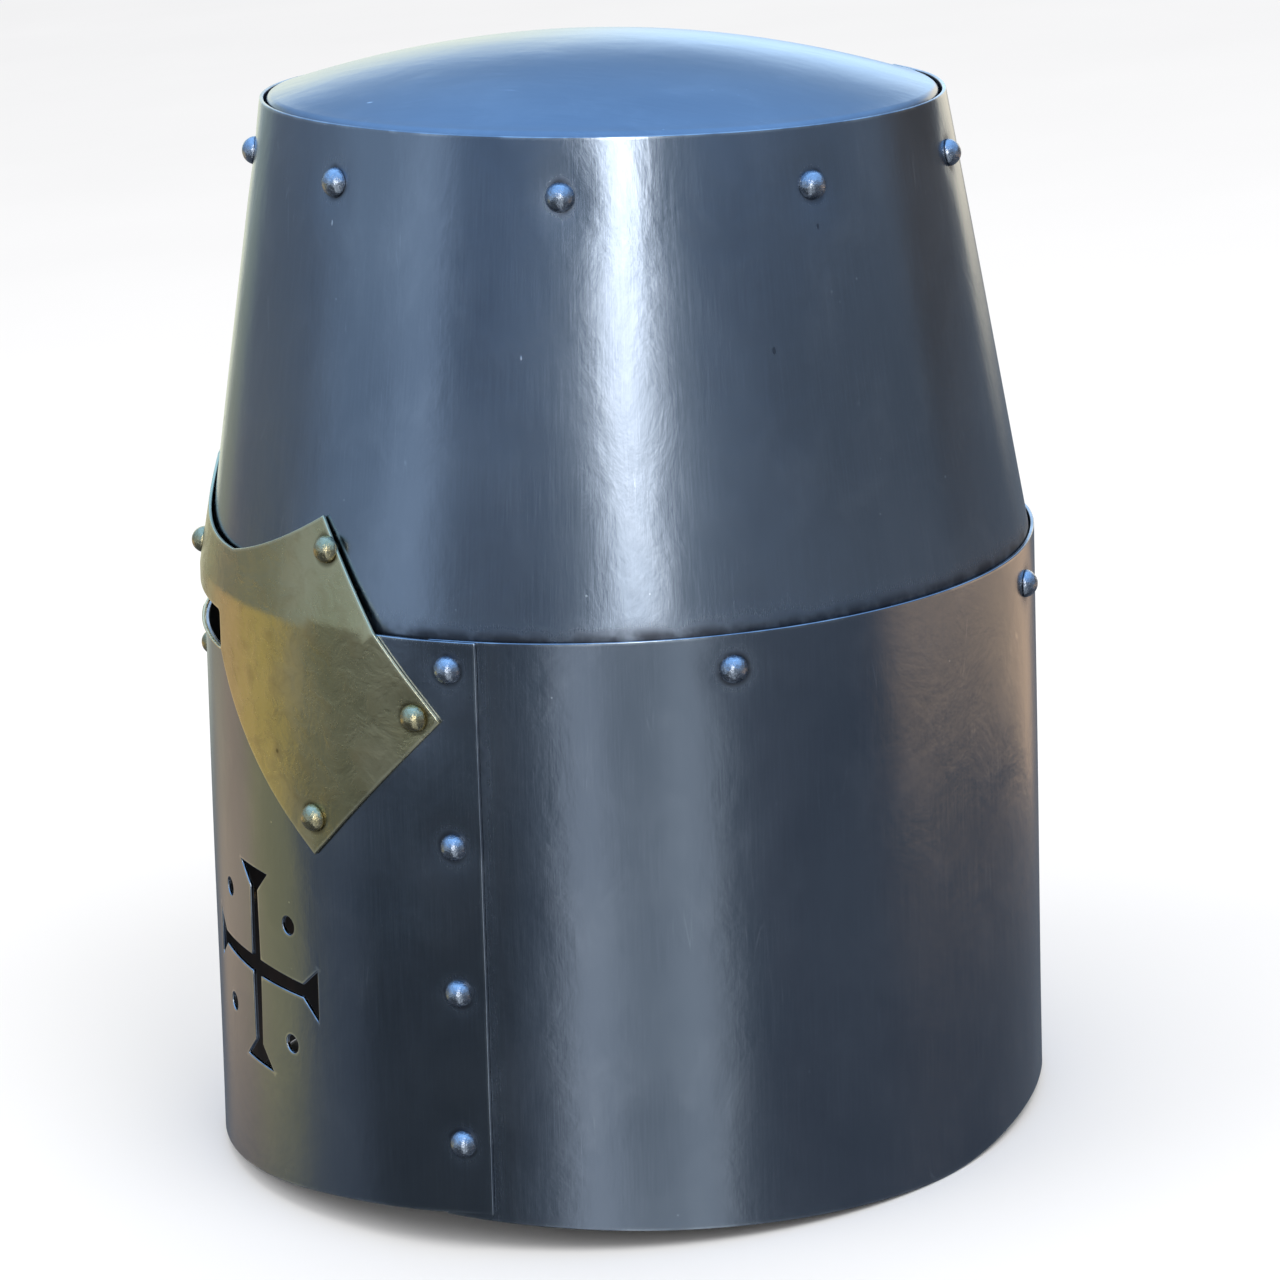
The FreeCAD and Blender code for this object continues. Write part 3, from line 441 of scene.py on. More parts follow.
def flat_points(loops, insets, grid, edge_r, frames, away_from, rivets_at):
    """Points between the edges: a row that follows each edge, a lattice, and rings round the rivets."""
    boundary = np.concatenate(insets)
    low, high = boundary.min(0), boundary.max(0)
    columns = np.arange(low[0] + grid / 2.0, high[0], grid)
    rows = np.arange(low[1] + grid / 2.0, high[1], grid * ROW_PITCH)
    lattice = np.array([(a + (grid / 2.0) * (k % 2), b) for k, b in enumerate(rows) for a in columns])
    lattice = lattice[inside(lattice, insets)]
    if len(lattice):
        lattice = lattice[away_from(lattice) > SUPPORT_INSET + 0.55 * grid]
    support = np.concatenate([loop - both * ((edge_r + SUPPORT_INSET) * miter)[:, None]
                              for loop, (both, miter) in zip(loops, frames)])
    support = support[inside(support, insets)]
    support = support[away_from(support) > SUPPORT_CLEAR]
    for a, b in rivets_at:
        away = np.hypot(lattice[:, 0] - a, lattice[:, 1] - b)
        lattice = lattice[away > RIVET_RINGS[-1] + 0.4 * grid]
        rings = []
        for k, radius in enumerate(RIVET_RINGS):
            turns = 2.0 * math.pi * (np.arange(RIVET_RING_COUNT) + 0.5 * (k % 2)) / RIVET_RING_COUNT
            rings.append(np.column_stack([a + radius * np.cos(turns), b + radius * np.sin(turns)]))
        ring = np.concatenate(rings)
        ring = ring[inside(ring, insets)]
        lattice = np.concatenate([lattice, ring[away_from(ring) > RIVET_RING_CLEAR]])
    return np.concatenate([boundary, support, lattice])


def triangulated(flat, insets):
    """Triangles between the edges, the points they use, and where each given point now is."""
    edges = []
    start = 0
    for loop in insets:
        count = len(loop)
        edges += [(start + k, start + (k + 1) % count) for k in range(count)]
        start += count
    given = [Vector(p) for p in flat.tolist()]
    placed, _, cells, came_from, _, _ = delaunay_2d_cdt(given, edges, [], 0, 1e-5)
    now_at = {source: index for index, sources in enumerate(came_from) for source in sources}
    flat = np.array([tuple(v) for v in placed])
    triangles = np.array(cells)
    triangles = triangles[inside(flat[triangles].mean(1), insets)]
    a, b, c = (flat[triangles[:, k]] for k in range(3))
    turned = np.cross(b - a, c - a) < 0
    triangles[turned] = triangles[turned][:, ::-1]
    return flat, triangles, now_at


def plate(name, outline, holes, surface, thickness, edge_r=EDGE_R, grid=GRID, step=EDGE_STEP,
          rivets_at=(), painted_shade_of=None, place=STAND):
    """A bent sheet with rounded edges.

    outline and holes are closed loops in the sheet's own flat plane; surface(a, b) maps flat points
    to the sheet's outer face.
    """
    loops = [resample(loop, step) for loop in [outline] + holes]
    frames = [outward(loop, k > 0) for k, loop in enumerate(loops)]
    insets = [loop - both * (edge_r * miter)[:, None] for loop, (both, miter) in zip(loops, frames)]
    boundary = np.concatenate(insets)
    tree = kdtree.KDTree(len(boundary))
    for k, (a, b) in enumerate(boundary):
        tree.insert((a, b, 0.0), k)
    tree.balance()

    def from_edge(points):
        return np.array([tree.find((a, b, 0.0))[2] for a, b in points], float)
    flat = flat_points(loops, insets, grid, edge_r, frames, from_edge, rivets_at)
    flat, triangles, now_at = triangulated(flat, insets)
    base, along, up, out = surface_frame(surface, flat[:, 0], flat[:, 1], 0.05)
    total = len(flat)
    verts = [base, base - out * thickness]
    normals = [out, -out]
    edge_value = np.exp(-from_edge(flat) / EDGE_WEAR)
    edge = [edge_value, edge_value]
    # Painted shade: the amount from the piece, half as much on the inner face and less again on the rounded
    # edge.
    dirt_and_shade = np.zeros(total) if painted_shade_of is None else painted_shade_of(flat)
    painted_shade = [dirt_and_shade, dirt_and_shade * 0.5]
    sheet = [np.column_stack([flat, np.zeros(total)]), np.column_stack([flat, -np.ones(total)])]
    faces = [tuple(f) for f in triangles.tolist()]
    faces += [(f[0] + total, f[2] + total, f[1] + total) for f in triangles.tolist()]
    turns = [30.0, 60.0, 90.0, 90.0, 60.0, 30.0]
    count_now = 2 * total
    start = 0
    for loop, (both, miter) in zip(insets, frames):
        count = len(loop)
        index = np.array([now_at[start + k] for k in range(count)])
        start += count
        away = unit(both[:, :1] * along[index] + both[:, 1:] * up[index])
        reach = (edge_r * miter)[:, None]
        rings = [index]
        for k, turn in enumerate(turns):
            sine = math.sin(math.radians(turn))
            cosine = math.cos(math.radians(turn))
            depth = edge_r * (1.0 - cosine) if k < 3 else thickness - edge_r * (1.0 - cosine)
            facing = out[index] * (cosine if k < 3 else -cosine) + away * sine
            verts.append(base[index] - out[index] * depth + away * reach * sine)
            normals.append(facing)
            sheet.append(np.column_stack([flat[index], np.full(count, -depth / thickness)]))
            edge.append(np.ones(count))
            painted_shade.append(dirt_and_shade[index] * 0.3)
            rings.append(np.arange(count_now, count_now + count))
            count_now += count
        rings.append(index + total)
        flip = np.cross(loop[1] - loop[0], both[0]) > 0
        for upper, lower in zip(rings, rings[1:]):
            for k in range(count):
                m = (k + 1) % count
                quad = (int(upper[k]), int(upper[m]), int(lower[m]), int(lower[k]))
                faces.append(quad if flip else quad[::-1])
    return put(name, np.concatenate(verts), faces, np.concatenate(normals),
               np.concatenate(sheet), np.concatenate(edge), np.concatenate(painted_shade), place)


def run_of(t_start, t_end, z_of, count):
    """Points of an edge that follows a height z_of(t)."""
    return [(float(s_of(t)), float(z_of(t))) for t in np.linspace(t_start, t_end, count)]


# ---------------------------------------------------------------- plates

def flat_rivets(places):
    return [(float(s_of(t)), z) for t, z in places]


def rivet_painted_shade(flat, places):
    """Painted shade: dark rings where the rivet heads meet the sheet."""
    found = np.zeros(len(flat))
    for s, z in places:
        away = np.hypot(flat[:, 0] - s, flat[:, 1] - z)
        found = np.maximum(found, np.exp(-np.maximum(0.0, away - HEAD_R) / 1.3))
    return found


def round_hole(a, b, radius, count=18):
    turns = [2.0 * math.pi * k / count for k in range(count)]
    return [(a + radius * math.cos(turn), b + radius * math.sin(turn)) for turn in turns]


def slot_loop(sign):
    low, high = SLOT_Z
    first, last = (float(s_of(t)) for t in SLOT_T)
    corner = SLOT_CORNER_R
    points = []
    for (s, z), turn in zip(((last, high), (first, high), (first, low), (last, low)), (0, 90, 180, 270)):
        centre_s = s + (-corner if s == last else corner)
        centre_z = z + (-corner if z == high else corner)
        for k in range(4):
            angle = math.radians(turn + 30.0 * k)
            points.append((sign * (centre_s + corner * math.cos(angle)),
                           centre_z + corner * math.sin(angle)))
    return points


def vent_loops(sign):
    """The cross-shaped breath and its four round holes."""
    centre = float(s_of(VENT_T))
    half = VENT_BAR / 2.0
    cross = []
    for quarter in range(4):
        turn = math.radians(90.0 * quarter)
        arm = [(half, half), (VENT_ARM - VENT_FLARE_DEPTH, half * 0.8), (VENT_ARM, VENT_FLARE / 2.0),
               (VENT_ARM, -VENT_FLARE / 2.0), (VENT_ARM - VENT_FLARE_DEPTH, -half * 0.8)]
        for along, across in arm[::-1]:
            u = along * math.cos(turn) - across * math.sin(turn)
            v = along * math.sin(turn) + across * math.cos(turn)
            cross.append((sign * (centre + u), VENT_Z + v))
    loops = [cross]
    for u in (-VENT_HOLE_AT, VENT_HOLE_AT):
        for v in (-VENT_HOLE_AT, VENT_HOLE_AT):
            hole = round_hole(centre + u, VENT_Z + v, VENT_HOLE_R, 20)
            loops.append([(sign * s, z) for s, z in hole])
    return loops


def face_plate():
    outline = run_of(-SEAM_T, SEAM_T, face_hem_z, 120) + run_of(SEAM_T, -SEAM_T, rim_z, 120)
    holes = [slot_loop(1), slot_loop(-1)] + vent_loops(1) + vent_loops(-1)
    heads = flat_rivets([(sign * SIDE_RIVET_T, z) for z in SIDE_RIVET_Z for sign in (1, -1)])

    # Painted shade round the rivet heads, and a fainter painted shade along the rim line at the face
    # plate's top edge.
    def painted_shade(flat):
        rim = np.exp(-np.abs(rim_z(t_of(flat[:, 0])) - flat[:, 1]) / 1.5)
        return np.maximum(rivet_painted_shade(flat, heads), 0.35 * rim)
    return plate("face_plate_steel", outline, holes,
                 lambda s, z: lower_wall(t_of(s), z, face_lift(t_of(s))),
                 STEEL, rivets_at=heads, painted_shade_of=painted_shade)


def nape_plate():
    first, last = NAPE_FRONT_T, 360.0 - NAPE_FRONT_T
    outline = run_of(first, last, nape_hem_z, 120) + run_of(last, first, rim_z, 120)
    heads = flat_rivets([(t % 360.0, z) for t, z in RIM_RIVETS])
    seams = [float(s_of(t)) for t in (SEAM_T, 360.0 - SEAM_T)]

    # Painted shade round the rivet heads, and a painted shadow along each seam, where the face plate's edge
    # lies over the nape plate.
    def painted_shade(flat):
        seam = np.minimum(np.abs(flat[:, 0] - seams[0]), np.abs(flat[:, 0] - seams[1]))
        return np.maximum(rivet_painted_shade(flat, heads), 0.8 * np.exp(-seam / 1.6))
    return plate("nape_plate_steel", outline, [],
                 lambda s, z: nape_wall(t_of(s), z), STEEL, rivets_at=heads, painted_shade_of=painted_shade)


def lower_run(first, last, low_of, half_width):
    """Lower edge of an inner layer, with the notch that leaves the eye slots open."""
    notch = math.degrees(math.asin(RELIEF_X / half_width))
    points = run_of(first, -notch, low_of, 60)
    points += run_of(-notch, notch, lambda t: RELIEF_TOP, 30)
    return points + run_of(notch, last, low_of, 80)


def skull_plate():
    first, last = SKULL_LAP_AT - 360.0 - SKULL_LAP_T, SKULL_LAP_AT + SKULL_LAP_T
    outline = lower_run(first, last, lambda t: rim_z(t) - SKULL_TUCK, SKULL_HALF[1])
    outline += run_of(last, first, lambda t: TOP_Z, 200)
    heads = flat_rivets([(t if t < last else t - 360.0, CROWN_RIVET_Z) for t in CROWN_RIVET_T]
                        + [(SKULL_LAP_AT, z) for z in LAP_RIVET_Z])

    # Painted shade round the rivet heads, and a painted shadow just above the rim, along the step of the
    # lower plates' top edge.
    def painted_shade(flat):
        over = flat[:, 1] - rim_z(t_of(flat[:, 0]))
        return np.maximum(rivet_painted_shade(flat, heads), np.exp(-np.maximum(0.0, over - 0.5) / 2.6))
    return plate("skull_plate_steel", outline, [],
                 lambda s, z: skull_wall(t_of(s), z, skull_lift(t_of(s))),
                 STEEL, rivets_at=heads, painted_shade_of=painted_shade)


def curve_between(first, middle, last, count=10):
    """A smooth run through three corners of the cross, given as (t, z)."""
    (s0, z0), (s1, z1), (s2, z2) = ((float(s_of(t)), z) for t, z in (first, middle, last))
    points = []
    for k in range(count):
        u = k / count
        a = (1 - u) * (1 - 2 * u)
        b = 4 * u * (1 - u)
        c = u * (2 * u - 1)
        points.append((a * s0 + b * s1 + c * s2, a * z0 + b * z1 + c * z2))
    return points


def brass_cross():
    def t_of_x(x):
        return math.degrees(math.asin(x / RIM_HALF[1]))
    slot_low = (SLOT_T[1], SLOT_Z[0])
    bend = (CROSS_BEND_T, float(rim_z(CROSS_BEND_T)))

    def mean(first, last, rise):
        return (0.5 * (first[0] + last[0]), 0.5 * (first[1] + last[1]) + rise)
    peak = (0.0, CROSS_TOP_PEAK)
    half = [peak]
    half += curve_between(peak, mean(peak, CROSS_BROW, -CROSS_TOP_SAG), CROSS_BROW)[1:]
    half += curve_between(CROSS_BROW, CROSS_BROW_MID, CROSS_TOP_MID)
    half += curve_between(CROSS_TOP_MID, mean(CROSS_TOP_MID, CROSS_UPPER, -CROSS_ARM_SAG), CROSS_UPPER)
    half += [(float(s_of(t)), z) for t, z in (CROSS_UPPER, bend, CROSS_TIP)]
    half += curve_between(CROSS_LOWER, CROSS_LOWER_MID, slot_low)
    half += [(float(s_of(slot_low[0])), slot_low[1])]
    half += [(float(s_of(t_of_x(x))), z) for x, z in (CHIN_ARM_ROOT, CHIN_ARM_WAIST, CHIN_ARM_FLARE)]
    half += [(0.0, CHIN_ARM_POINT_Z)]
    outline = half + [(-s, z) for s, z in half[-2:0:-1]]
    holes = []
    for sign in (1, -1):
        holes.append([(s, z if z > 0.5 * sum(SLOT_Z) else z + CROSS_SLOT_SILL) for s, z in slot_loop(sign)])
    heads = flat_rivets([(sign * t, z) for t, z in BROW_RIVETS + CHEEK_RIVETS for sign in (1, -1)]
                        + [(0.0, CHIN_RIVET_Z)])
    # The cross gets painted shade round its rivet heads.
    return plate("brass_cross_plate", outline, holes,
                 lambda s, z: cross_wall(t_of(s), z, BRASS), BRASS, rivets_at=heads,
                 painted_shade_of=lambda flat: rivet_painted_shade(flat, heads))


def crown_plate():
    """Shallow dome, its edge turned down inside the skull plate."""
    shoulder = TOP_Z - CROWN_SHOULDER
    shares = [k / 26.0 * CROWN_EDGE_SHARE for k in range(27)]
    profile = [(share, TOP_Z + DOME_RISE * (1.0 - share ** 2)) for share in shares]
    low = TOP_Z - CROWN_SKIRT
    around = 180
    verts = []
    angles = np.linspace(0.0, 360.0, around, endpoint=False)
    half = [size - STEEL - GAP for size in TOP_HALF]
    rings = []

    def ring(points):
        rings.append(len(verts))
        verts.extend(points.tolist())
    edge_share, edge_height = profile[-1]
    bend = CROWN_BEND_R
    for share, z in profile[1:]:
        lift = CROWN_WAVE * share * hand_wave(angles, 330.0 + 40.0 * share)
        length = (half[0] - bend) * share / edge_share
        width = (half[1] - bend) * share / edge_share
        ring(ellipse_point(length, width, angles, z + lift, TOP_FORWARD))
    drop = edge_height - shoulder + bend
    for k in range(1, 7):
        turn = math.radians(15.0 * k)
        inset = bend * (1.0 - math.sin(turn))
        height = edge_height - drop * (1.0 - math.cos(turn)) + CROWN_WAVE * hand_wave(angles, 370.0)
        ring(ellipse_point(half[0] - inset, half[1] - inset, angles, height, TOP_FORWARD))
    for z in np.linspace(shoulder - bend - 2.0, low, 6):
        ring(skull_wall(angles, z, -STEEL - GAP))
    outer_rings = len(rings)
    for z in np.linspace(low, shoulder - bend - 2.0, 6):
        ring(skull_wall(angles, z, -2 * STEEL - GAP))
    for share, z in profile[:0:-1]:
        length = (half[0] - bend - STEEL) * share / edge_share
        width = (half[1] - bend - STEEL) * share / edge_share
        ring(ellipse_point(length, width, angles, z - STEEL, TOP_FORWARD))
    faces = []
    for upper, lower in zip(rings, rings[1:]):
        for k in range(around):
            m = (k + 1) % around
            faces.append((upper + k, lower + k, lower + m, upper + m))
    top = len(verts)
    verts.append([0.0, -TOP_FORWARD, profile[0][1]])
    verts.append([0.0, -TOP_FORWARD, profile[0][1] - STEEL])
    for k in range(around):
        m = (k + 1) % around
        faces.append((top, rings[0] + k, rings[0] + m))
        faces.append((top + 1, rings[-1] + m, rings[-1] + k))
    verts = np.array(verts)
    edge = np.zeros(len(verts))
    # The bend at the crown's edge gets a little of the bright edge colour: part edge wear, part painted
    # highlight.
    for index in range(outer_rings - 12, outer_rings - 6):
        edge[rings[index]:rings[index] + around] = 0.6
    side = np.zeros(len(verts))
    side[rings[outer_rings]:] = -1.0
    side[top] = 0.0
    sheet = np.column_stack([verts[:, :2], side])
    return put("crown_plate_steel", verts, faces, None, sheet, edge, np.zeros(len(verts)))


# ---------------------------------------------------------------- rivets

def wall_point(wall, t, z, out):
    return wall(np.array([t]), np.array([z]), out)[0]


def rivet_profile(grip):
    """Radius and height down a rivet: dome, the head's underside, shank and peened tail."""
    ball_r = (HEAD_R ** 2 + HEAD_H ** 2) / (2.0 * HEAD_H)
    profile = []
    for k in range(1, 11):
        angle = math.asin(HEAD_R / ball_r) * k / 10.0
        profile.append((ball_r * math.sin(angle), HEAD_H - ball_r * (1.0 - math.cos(angle))))
    profile += [(HEAD_R - 0.15, -0.12), (HEAD_R - 1.2, -0.2), (SHANK_R, -0.2), (SHANK_R, -grip),
                (TAIL_R, -grip)]
    for k in range(1, 5):
        angle = math.radians(90.0 * k / 4.5)
        profile.append((TAIL_R * math.cos(angle), -grip - TAIL_H * math.sin(angle)))
    return profile


def rivet_mesh(name, places, wobble_seed):
    """Domed rivets; each place is (wall, t, z, out, grip)."""
    rng = np.random.default_rng(wobble_seed)
    around = 28
    verts, faces, sheet = [], [], []
    for wall, t, z, out, grip in places:
        here = wall_point(wall, t, z, out)
        along = wall_point(wall, t + 0.5, z, out) - wall_point(wall, t - 0.5, z, out)
        up = wall_point(wall, t, z + 0.5, out) - wall_point(wall, t, z - 0.5, out)
        normal = unit(np.cross(along, up))
        side = unit(np.cross((0.0, 0.0, 1.0), normal))
        rise = np.cross(normal, side)
        tilt = rng.normal(0.0, 0.012, 2)
        wide = 1.0 + rng.uniform(-0.02, 0.03)
        oval = rng.uniform(-0.02, 0.02)
        profile = rivet_profile(grip)
        base = len(verts)
        verts.append(here + normal * HEAD_H)
        for radius, height in profile:
            for k in range(around):
                angle = 2.0 * math.pi * k / around
                u = radius * wide * (1.0 + oval * math.cos(2.0 * angle)) * math.cos(angle)
                v = radius * wide * (1.0 - oval * math.cos(2.0 * angle)) * math.sin(angle)
                lift = height + (tilt[0] * u + tilt[1] * v if height > 0.0 else 0.0)
                verts.append(here + side * u + rise * v + normal * lift)
        verts.append(here - normal * (grip + TAIL_H))
        for k in range(around):
            m = (k + 1) % around
            faces.append((base, base + 1 + k, base + 1 + m))
            for ring in range(len(profile) - 1):
                first = base + 1 + ring * around
                faces.append((first + k, first + around + k, first + around + m, first + m))
            last = base + 1 + (len(profile) - 1) * around
            faces.append((last + k, len(verts) - 1, last + m))
        local = np.array(verts[base:]) - here
        sheet.append(np.column_stack([local @ side, local @ rise, local @ normal]))
    sheet = np.concatenate(sheet)
    # The edge layer of the rivets rises towards the sheet; the rivet material paints shade there.
    return put(name, np.array(verts), faces, None, sheet, smooth(-sheet[:, 2], -0.9, 0.1))


def grip_to_band(wall, t, z, out):
    """Shank length of a rivet that also holds the liner band."""
    band_inside = wall_point(skull_wall, t, z, -STEEL - LINER_GAP - LEATHER)
    return float(np.linalg.norm(wall_point(wall, t, z, out) - band_inside)) + 0.2


def rivets():
    crown = []
    for index, t in enumerate(CROWN_RIVET_T):
        lap = LAP_LIFT if index == CROWN_LAP_RIVET else 0.0
        grip = lap + 2 * STEEL + GAP + TAIL_GAP
        crown.append((skull_wall, float(ring_angle(t)), CROWN_RIVET_Z, lap, grip))
    lap = [(skull_wall, SKULL_LAP_AT, z, LAP_LIFT, LAP_LIFT + STEEL + TAIL_GAP) for z in LAP_RIVET_Z]
    sides = {}
    for sign, name in ((1, "left"), (-1, "right")):
        row = []
        for index, z in enumerate(SIDE_RIVET_Z):
            out = float(face_lift(SIDE_RIVET_T))
            grip = out + STEEL + TAIL_GAP
            if index == 0:
                grip = grip_to_band(lower_wall, SIDE_RIVET_T, z, out)
            if index == 1:
                grip += HANGER_GAP + HANGER
            row.append((lower_wall, sign * SIDE_RIVET_T, z, out, grip))
        sides[name] = row
    rim = []
    for t, z in RIM_RIVETS:
        rim.append((nape_wall, t, z, 0.0, grip_to_band(nape_wall, t, z, 0.0)))
    cross = []
    for sign in (1, -1):
        for t, z in BROW_RIVETS:
            cross.append((cross_wall, sign * t, z, BRASS, grip_to_band(cross_wall, t, z, BRASS)))
        for t, z in CHEEK_RIVETS:
            grip = BRASS + GAP + float(face_lift(t)) + STEEL + 0.15
            if z > rim_z(t) - SKULL_TUCK:  # the skull plate's tucked edge is behind it too
                grip += LAP_LIFT
            cross.append((cross_wall, sign * t, z, BRASS, grip))
    cross.append((cross_wall, 0.0, CHIN_RIVET_Z, BRASS, BRASS + GAP + STEEL + TAIL_GAP))
    return [
        ("crown_rivet_heads", "crown_rivets", crown, "steel_rivet"),
        ("lap_rivet_heads", "skull_lap_rivets", lap, "steel_rivet"),
        ("side_rivet_heads_left", "side_rivets_left", sides["left"], "steel_rivet"),
        ("side_rivet_heads_right", "side_rivets_right", sides["right"], "steel_rivet"),
        ("rim_rivet_heads", "rim_rivets", rim, "steel_rivet"),
        ("cross_rivet_heads", "cross_rivets", cross, "brass_rivet"),
    ]


# ---------------------------------------------------------------- liner

def tube(points, radius, around=8, closed=False):
    """Vertices and faces of a round cord along points; radius is a number or one for each point."""
    points = np.asarray(points, float)
    count = len(points)
    ahead = np.roll(points, -1, 0) - np.roll(points, 1, 0)
    if not closed:
        ahead[0] = points[1] - points[0]
        ahead[-1] = points[-1] - points[-2]
    ahead = unit(ahead)
    radii = np.broadcast_to(np.asarray(radius, float), (count,))
    side = np.cross(ahead[0], (0.31, 0.17, 0.93))
    verts = []
    for k in range(count):
        side = unit(side - ahead[k] * np.dot(side, ahead[k]))
        other = np.cross(ahead[k], side)
        for m in range(around):
            angle = 2.0 * math.pi * m / around
            verts.append(points[k] + (side * math.cos(angle) + other * math.sin(angle)) * radii[k])
    faces = []
    for k in range(count if closed else count - 1):
        after = (k + 1) % count
        for m in range(around):
            n = (m + 1) % around
            faces.append((k * around + m, k * around + n, after * around + n, after * around + m))
    if not closed:
        faces.append(tuple(range(around))[::-1])
        faces.append(tuple((count - 1) * around + m for m in range(around)))
    return verts, faces


def joined(name, parts, place=STAND):
    """One object from several lists of vertices and faces."""
    verts, faces = [], []
    for part_verts, part_faces in parts:
        base = len(verts)
        verts += list(part_verts)
        faces += [tuple(base + k for k in face) for face in part_faces]
    verts = np.array(verts)
    return put(name, verts, faces, None, verts, np.zeros(len(verts)), None, place)


def stitch_row(surface, starts, depth, length, thick=THREAD):
    """Thread stitches bowed over a surface; starts are flat points with the flat direction of each."""
    parts = []
    for a, b, da, db in starts:
        shares = np.linspace(0.0, 1.0, 7)
        p = a + da * length * (shares - 0.5)
        q = b + db * length * (shares - 0.5)
        base, _, _, out = surface_frame(surface, p, q, 0.1)
        bow = np.sin(math.pi * shares)[:, None]
        facing = -1.0 if depth > 0.0 else 1.0
        line = base - out * depth + out * facing * thick * (0.75 * bow - 0.62)
        parts.append(tube(line, thick * (0.34 + 0.12 * bow[:, 0]), 6))
    return parts


def liner_band_surface(s, z):
    return skull_wall(t_of(s), z, -STEEL - LINER_GAP)


def liner_band():
    """Leather band closed by a butted seam at the back."""
    first, last = -179.75, 179.75
    outline = lower_run(first, last, lambda t: BAND_BOTTOM, SKULL_HALF[1] - STEEL - LINER_GAP)
    outline += run_of(last, first, lambda t: rim_z(t) + BAND_TOP_OVER_RIM, 140)
    return plate("liner_band_leather", outline, [], liner_band_surface, LEATHER, 0.75, 4.0, 2.4)


def band_stitches():
    """A running stitch round the upper and lower edges, seen from inside, and the seam's cross stitches."""
    starts = []
    for k in range(118):
        t = -177.0 + 354.0 * k / 117.0
        top = float(rim_z(t)) + BAND_TOP_OVER_RIM - 3.2
        starts.append((float(s_of(t)), top, 1.0, 0.0))
        if abs(t) > 44.0:
            starts.append((float(s_of(t)), BAND_BOTTOM + 3.4, 1.0, 0.0))
    parts = stitch_row(liner_band_surface, starts, LEATHER, 4.2)
    seam = []
    edge = float(s_of(179.75))
    for k in range(9):
        seam.append((edge - 2.2, BAND_BOTTOM + 5.0 + 5.2 * k, 0.0, 1.0))
    parts += stitch_row(liner_band_surface, seam, LEATHER, 3.4)
    parts += stitch_row(liner_band_surface, [(-a, b, c, d) for a, b, c, d in seam], LEATHER, 3.4)
    return joined("liner_band_stitches", parts)


def tongue_half(b):
    share = np.clip(b / TONGUE_LENGTH, 0.0, 1.0)
    return TONGUE_HALF[0] + (TONGUE_HALF[1] - TONGUE_HALF[0]) * share


def tongue_surface(middle):
    """Outer face of one leaf: sewn flat against the band (b < 0), then drawn in to the lace."""
    def at(a, b):
        share = np.clip(b / TONGUE_LENGTH, 0.0, 1.0)
        spread = TONGUE_BASE_T + (TONGUE_TIP_T - TONGUE_BASE_T) * share
        t = middle + spread * a / tongue_half(b)
        foot_out = -STEEL - LINER_GAP - LEATHER - SEWN_GAP
        foot = skull_wall(t, rim_z(t) + BAND_TOP_OVER_RIM + np.minimum(b, 0.0), foot_out)
        top = ellipse_point(TONGUE_TOP_HALF[0], TONGUE_TOP_HALF[1], t, TONGUE_TOP_Z)
        round_off = 1.0 - np.sqrt(np.maximum(0.0, 1.0 - share ** TONGUE_ROUND))
        draw = TONGUE_SLOPE * share + (1.0 - TONGUE_SLOPE) * round_off
        point = foot + (top - foot) * draw[..., None]
        point[..., 2] = foot[..., 2] + (TONGUE_TOP_Z - foot[..., 2]) * np.sin(0.5 * math.pi * share)
        return point
    return at


def tongue(index):
    middle = 360.0 * (index + 0.5) / TONGUES
    start = TONGUE_START - BAND_TOP_OVER_RIM
    steps = np.linspace(start, TONGUE_LENGTH, 30)
    outline = [(float(tongue_half(b)), float(b)) for b in steps]
    outline += [(-a, b) for a, b in outline[::-1]]
    surface = tongue_surface(middle)
    leaf = plate("liner_tongue_%d_leather" % (index + 1), outline, [], surface, LEATHER, 0.75, 4.5, 2.6)
    starts = []
    for k in range(13):
        a = -TONGUE_HALF[0] + 3.5 + (2.0 * TONGUE_HALF[0] - 7.0) * k / 12.0
        starts.append((a, start + 3.0, 1.0, 0.0))
    for side in (1.0, -1.0):
        for k in range(14):
            b = 4.0 + 6.2 * k
            starts.append((side * (float(tongue_half(b)) - 3.0), b, 0.0, 1.0))
    sewing = joined("liner_tongue_%d_stitches" % (index + 1), stitch_row(surface, starts, LEATHER, 4.0))
    return leaf, sewing


